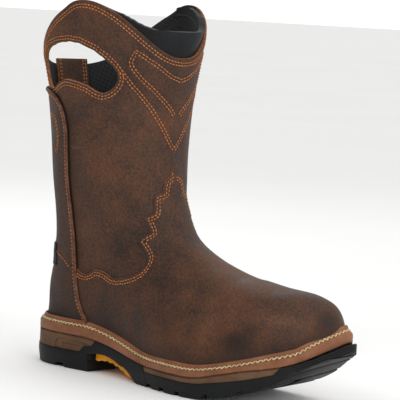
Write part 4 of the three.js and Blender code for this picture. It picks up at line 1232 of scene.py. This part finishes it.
def wallZones(grow):
    rear = [(x - grow, z) for x, z in onSide(archWallRear)]
    front = [(x + grow, z) for x, z in onSide(archWallFront)]
    toe = [(x - grow, z) for x, z in onSide(toeWall)]
    zones = across([(rear[0][0], -60)] + rear + [(rear[-1][0], 160),
                                                 (front[0][0], 160)] + front + [(front[1][0], -60)])
    joined(zones, across([(toe[0][0], -60)] + toe + [(toe[-1][0], 160), (400, 160), (400, -60)]), "UNION")
    return joined(zones, block(-30, 14, -13 - grow, 13 + grow, -60, 160), "UNION")


def wallFoot(x):
    low = blackTopZ(x) if x < wallStart else max(float(blackTopZ(x)), float(archUnder(x)[0]))
    return low - 2


# grooves across the tread: place and width as shares of the length
soleLook = {"grooves": [(0.152, 0.024), (0.523, 0.014), (0.583, 0.014), (0.645, 0.012), (0.74, 0.01),
                        (0.837, 0.016),
                        (0.911, 0.012), (0.96, 0.012)],
            "depth": 3.0, "centreHalf": 4, "centreInset": 28, "bevel": 0.8, "ribsFrom": 0.965, "ribs": 4,
            "ribPitch": 1.9, "ribHeight": 0.8, "ribDepth": 0.8}


def makeOutsole():
    heel = soleLayer(0, lambda x: 0, blackTopZ, -1.5)
    heel = joined(heel, across([(-60, -40), (breast - 3, -40), (breast + 3, 155), (-60, 155)]), "INTERSECT")
    front = soleLayer(0, treadZ, blackTopZ, lambda x: -2 * (1 - smooth((x / last["length"] - 0.8) / 0.12)))
    slope = [(archStop + d, float(archUnder(archStop + d)[0])) for d in (3, -1, -5, -9, -13, -17, -21)]
    front = joined(front, across([(archStop + 3, -40)] + slope + [(slope[-1][0], 60), (420, 120),
                                                                  (420, -40)]), "INTERSECT")
    arch = sheetBetween(lambda x: archUnder(x)[0], lambda x: archUnder(x)[0] + 3, breast - 2, archStop - 19)
    arch = joined(arch, overPlan(-1), "INTERSECT")
    web = sheetBetween(lambda x: last["heelBlock"] - last["lug"], lambda x: archUnder(x)[0] + 3, wallStart,
                       breast + 1)
    web = joined(web, overPlan(-1), "INTERSECT")
    body = heel
    for part in (front, arch, web):
        joined(body, part, "UNION")
    half, inset = soleLook["centreHalf"], soleLook["centreInset"]
    centre = joined(block(-20, last["length"] + 20, -half, half, -20, 60),
                    soleLayer(-inset, lambda x: -20, lambda x: treadZ(x) + last["lug"]), "INTERSECT")
    joined(body, centre, "DIFFERENCE")
    depth = soleLayer(3, lambda x: -20, lambda x: treadZ(x) + soleLook["depth"])
    for place, width in soleLook["grooves"]:
        x, half = place * last["length"], width * last["length"] / 2
        low = float(treadZ(np.array(x))) - 1
        cut = across([(x - half * 1.5, low - 40), (x + half * 1.5, low - 40), (x + half * 1.5, low),
                      (x + half * 0.6, low + 12), (x - half * 0.6, low + 12), (x - half * 1.5, low)])
        joined(cut, depth, "INTERSECT", keep=True)
        joined(body, cut, "DIFFERENCE")
    bpy.data.objects.remove(depth)
    walls = soleLayer(0, wallFoot, lambda x: weltZ(x) - last["gap"])
    joined(walls, overPlan(-5), "DIFFERENCE")
    joined(walls, wallZones(0), "INTERSECT")
    joined(body, walls, "UNION")
    for k in range(soleLook["ribs"]):
        drop = soleLook["ribPitch"] * (k + 1) - soleLook["ribHeight"] / 2
        rib = sheetBetween(lambda x: weltZ(x) - drop - soleLook["ribHeight"], lambda x: weltZ(x) - drop,
                           soleLook["ribsFrom"] * last["length"] + 1.2 * k, pastToe)
        joined(rib, overPlan(4), "INTERSECT")
        joined(rib, overPlan(-soleLook["ribDepth"]), "DIFFERENCE")
        joined(body, rib, "DIFFERENCE")
    return body


def softened(obj, name, material, width):
    obj.name = name
    obj.data.name = name
    obj.data.materials.clear()
    obj.data.materials.append(material)
    welded(obj, 5e-6, lambda work: bmesh.ops.dissolve_degenerate(work, edges=work.edges, dist=5e-6),
           lambda work: bmesh.ops.dissolve_limit(work, angle_limit=math.radians(0.6), verts=work.verts,
                                                 edges=work.edges))
    modifier(obj, "BEVEL", width=width / 1000, segments=2, limit_method="ANGLE", angle_limit=math.radians(35))
    applyAll(obj)
    selectOnly(obj)
    bpy.ops.object.shade_smooth_by_angle(angle=math.radians(32))
    return obj


outsoleObj = softened(makeOutsole(), "rubber_outsole", blackRubber, soleLook["bevel"])
onBoot(outsoleObj, "black_rubber", "outsole")
print("outsole", len(outsoleObj.data.polygons))

# midsole: heel wedge with its sunk panel, thin layer under the forefoot
midsoleLook = {
    "panel": [(0.128, 0.3), (0.134, 0.54), (0.142, 0.605), (0.154, 0.63), (0.264, 0.6), (0.24, 0.5),
              (0.222, 0.3)],
    "pocket": [(0.159, 0.42), (0.16, 0.545), (0.226, 0.54), (0.219, 0.42)],
    "panelDepth": 0.9, "pocketDepth": 1.8, "lineDrop": 0.5, "lineWide": 0.7,
    "bevel": 0.4,
}


def makeMidsole():
    body = soleLayer(-0.5, lambda x: blackTopZ(x) + last["gap"], lambda x: weltZ(x) - last["gap"])
    walls = joined(overPlan(6), overPlan(-5 - last["gap"]), "DIFFERENCE")
    joined(walls, wallZones(last["gap"]), "INTERSECT")
    joined(body, walls, "DIFFERENCE")
    overArch = sheetBetween(lambda x: -20, lambda x: archUnder(x)[0] + 3 + last["gap"],
                            wallStart - last["gap"], archStop - 17)
    joined(body, overArch, "DIFFERENCE")
    for sunk in ("panel", "pocket"):
        cut = joined(across(onSide(midsoleLook[sunk])), overPlan(-0.5 - midsoleLook[sunk + "Depth"]),
                     "DIFFERENCE")
        joined(body, cut, "DIFFERENCE")
    drop, wide = midsoleLook["lineDrop"], midsoleLook["lineWide"]
    line = sheetBetween(lambda x: weltZ(x) - drop - wide, lambda x: weltZ(x) - drop, -20,
                        pastToe)
    joined(line, overPlan(4), "INTERSECT")
    joined(line, overPlan(-1.3), "DIFFERENCE")
    return joined(body, line, "DIFFERENCE")


midsoleObj = softened(makeMidsole(), "foam_midsole", midsoleFoam, midsoleLook["bevel"])
onBoot(midsoleObj, "midsole_foam", "midsole")
print("midsole", len(midsoleObj.data.polygons))

# ribbed piece under the arch
insertLook = {"ribs": 7, "ripple": 1.1, "drop": 8.0, "from": 3.5, "till": 9, "bevel": 0.7}


def makeInsert():
    first, final = breast + insertLook["from"], archStop - insertLook["till"]
    xs = np.linspace(first, final, 60)
    ripple = insertLook["ripple"] * np.abs(np.sin(np.pi * insertLook["ribs"] * (xs - first) / (final - first)))
    low = [(x, max(float(archUnder(x)[0]) - insertLook["drop"], 2.5) + 0.9 - r) for x, r in zip(xs, ripple)]
    high = [(x, float(archUnder(x)[0]) - last["gap"]) for x in xs[::-1]]
    return joined(across(low + high), overPlan(-5.3), "INTERSECT")


insertObj = softened(makeInsert(), "arch_insert_ribbed", yellowRubber, insertLook["bevel"])
onBoot(insertObj, "yellow_rubber", "arch_insert")
print("arch insert")

# welt: band, sloped stitch channel and raised lip, carried round the sole's outline
weltLook = {"steps": 520, "inset": 0.15, "back": 3.5, "channelDrop": 2.6, "lip": 2.1, "under": 8}
weltRing = soleRing(weltLook["steps"])
weltOut = ringNormals(weltRing)
reserve = last["overlay"] + 2 * last["gap"]
weltPoints, weltFaces = [], []
weltBack = weltLook["back"] * smooth((weltRing[:, 0] / last["length"] - 0.93) / 0.07)
weltAt = sprung(weltRing[:, 0], weltRing[:, 1])
for (x, y), (nx, ny), back, place in zip(weltRing, weltOut, weltBack, weltAt):
    top, low, edge = float(seatZ(place)), float(weltZ(place)), float(edgeAt(x))
    lip = -edge + reserve + 0.1
    side = top - weltLook["channelDrop"]
    out = -weltLook["inset"] - back
    foot = lip + weltLook["lip"]
    inner = -last["edge"] - weltLook["under"]
    profile = [(out - 0.8, low), (out - 0.2, low + 0.4), (out, low + 1.2), (out - 0.1, (low + side) / 2),
               (out, side - 1.0),
               (out - 0.2, side - 0.3), (out - 0.7, side + 0.1), (out - 1.1, side + 0.35),
               (out - 1.4, side + 0.2),
               ((out + foot) / 2 - 0.6, (side + top) / 2 + 0.05), (foot + 0.3, top - 0.55), (foot, top + 0.1),
               (foot - 0.3, top + 1.5), (foot - 0.7, top + 2.3), (foot - 1.3, top + 2.75),
               (lip + 0.2, top + 2.6), (lip, top + 1.6), (lip, top + 0.2), (lip - 1.2, top - 0.2),
               (inner, top - 0.2),
               (inner, low)]
    weltPoints += [(x + nx * n, y + ny * n, z) for n, z in profile]
size, count = len(profile), len(weltRing)
for k in range(count):
    for i in range(size):
        j = (i + 1) % size
        m = (k + 1) % count
        weltFaces.append((k * size + i, m * size + i, m * size + j, k * size + j))
weltObj = oriented(newMesh("stitched_welt", weltPoints, weltFaces, [weltLeather]))
selectOnly(weltObj)
bpy.ops.object.shade_smooth_by_angle(angle=math.radians(50))
onBoot(weltObj, "welt_strip", "welt")

# lockstitch on the welt: two threads crossing in a zigzag
weltStitch = {
    "pitch": 4.4, "width": 0.62, "height": 0.55, "sunk": 0.25, "overlap": 1.1, "lean": 0.68, "rise": 0.73,
}
run = runAlong(np.vstack([weltRing, weltRing[:1]]))
stitchCount = int(run[-1] / (weltStitch["pitch"] / 2)) // 2 * 2
points, faces = [], []
for k in range(stitchCount):
    ends = []
    for step in (0, 1):
        at = ((k + step) % stitchCount) * run[-1] / stitchCount
        i = int(np.searchsorted(run, at, "right") - 1) % count
        t = (at - run[i]) / (run[i + 1] - run[i])
        p = weltRing[i] * (1 - t) + weltRing[(i + 1) % count] * t
        n = weltOut[i] * (1 - t) + weltOut[(i + 1) % count] * t
        n /= np.linalg.norm(n)
        back = float(weltBack[i])
        foot = -float(edgeAt(p[0])) + reserve + 2.2
        high = (k + step) % 2
        wide = foot + 0.35 if high else -1.75 - back
        top = float(seatZ(sprung(p[0], p[1]))) + (-0.45 if high else -2.0)
        ends.append(np.array([p[0] + n[0] * wide, p[1] + n[1] * wide, top]))
    way = ends[1] - ends[0]
    reach = np.linalg.norm(way)
    way /= reach
    out = np.array([n[0] * weltStitch["lean"], n[1] * weltStitch["lean"], weltStitch["rise"]])
    out -= way * out.dot(way)
    out /= np.linalg.norm(out)
    layStitch(points, faces, weltStitch, (ends[0] + ends[1]) / 2, way, out, reach * weltStitch["overlap"])
onBoot(newMesh("welt_stitching", points, faces, [threadCream]), "welt_strip")
print("welt")

# footbed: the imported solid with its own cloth
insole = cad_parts["insole"]
insole.data.materials.clear()
insole.data.materials.append(sockCloth)

# stage: pale floor, soft light from three sides
stageLook = {"world": 1.12, "shade": 0.2, "key": 9.0, "fill": 9.0, "rim": 3.0}
bpy.ops.object.select_all(action="DESELECT")
bpy.ops.mesh.primitive_plane_add(size=60, location=(0, 0, -0.0005))
floor = bpy.context.active_object
floor.name = "studio_floor"
floor.data.materials.append(plainFinish("white_seamless_paper", "#f3f3f2", "#f5f5f4", 2, 0.9, 20, 0.0001,
                                        0.02))
world = bpy.data.worlds.new("studio")
bpy.context.scene.world = world
world.use_nodes = True
studio = world.node_tree
backdrop = studio.nodes["Background"]
backdrop.inputs[0].default_value = (1, 1, 1, 1)
# the sky is dimmer toward the left front, so that the outer side lies in soft shade
towards = node(studio, "ShaderNodeTexCoord").outputs["Generated"]
facing = node(studio, "ShaderNodeVectorMath", {0: towards, 1: (-0.62, -0.78, 0.0)}, operation="DOT_PRODUCT")
shadeSide = node(studio, "ShaderNodeMapRange", {"Value": facing.outputs["Value"], "From Min": 0.0,
                                                "From Max": 0.9,
                                                "To Min": stageLook["world"], "To Max": stageLook["shade"]})
studio.links.new(shadeSide.outputs[0], backdrop.inputs[1])


def softLight(name, place, aim, size, power):
    lamp = bpy.data.lights.new(name, "AREA")
    lamp.shape = "DISK"
    lamp.size = size
    lamp.energy = power
    obj = bpy.data.objects.new(name, lamp)
    obj.location = place
    obj.rotation_euler = (Vector(aim) - Vector(place)).to_track_quat("-Z", "Y").to_euler()
    bpy.context.scene.collection.objects.link(obj)


softLight("key", (0.2, -1.5, 1.5), (0, 0, 0.12), 1.0, stageLook["key"])
softLight("fill", (1.7, -0.5, 0.9), (0, 0, 0.12), 1.2, stageLook["fill"])
softLight("rim", (-1.2, 0.9, 1.2), (0, 0, 0.2), 0.9, stageLook["rim"])

# camera where the photograph was taken from
view = {"turn": 44.0, "up": 5.2, "away": 2.0, "roll": 3.2, "pixels": 2400.0, "centre": (160.5, 209.0),
        "target": (120.0, 0.0, 140.0), "width": 400, "sensor": 36.0}
turn, up, roll = (math.radians(view[k]) for k in ("turn", "up", "roll"))
back = Vector((math.sin(turn) * math.cos(up), -math.cos(turn) * math.cos(up), math.sin(up)))
target = Vector(toModel([view["target"]])[0])
eye = target + back * view["away"]
right = (-back).cross(Vector((0, 0, 1))).normalized()
above = right.cross(-back)
tiltedRight = right * math.cos(roll) + above * math.sin(roll)
tiltedUp = above * math.cos(roll) - right * math.sin(roll)
middle = view["width"] / 2
look = (-back + tiltedRight * (middle - view["centre"][0]) / view["pixels"]
        + tiltedUp * (view["centre"][1] - middle) / view["pixels"]).normalized()
cameraX = look.cross(tiltedUp).normalized()
cameraY = cameraX.cross(look)
camera = bpy.data.objects.new("camera", bpy.data.cameras.new("camera"))
camera.data.lens = view["sensor"] * view["pixels"] / view["width"]
camera.data.sensor_width = view["sensor"]
camera.data.clip_start = 0.05
camera.data.clip_end = 30
camera.matrix_world = Matrix((cameraX, cameraY, -look)).transposed().to_4x4()
camera.location = eye
bpy.context.scene.collection.objects.link(camera)
bpy.context.scene.camera = camera
bpy.context.scene.view_settings.view_transform = "Standard"

bpy.context.view_layer.update()
print("triangles", sum(sum(len(p.vertices) - 2 for p in o.data.polygons) for o in pieces))
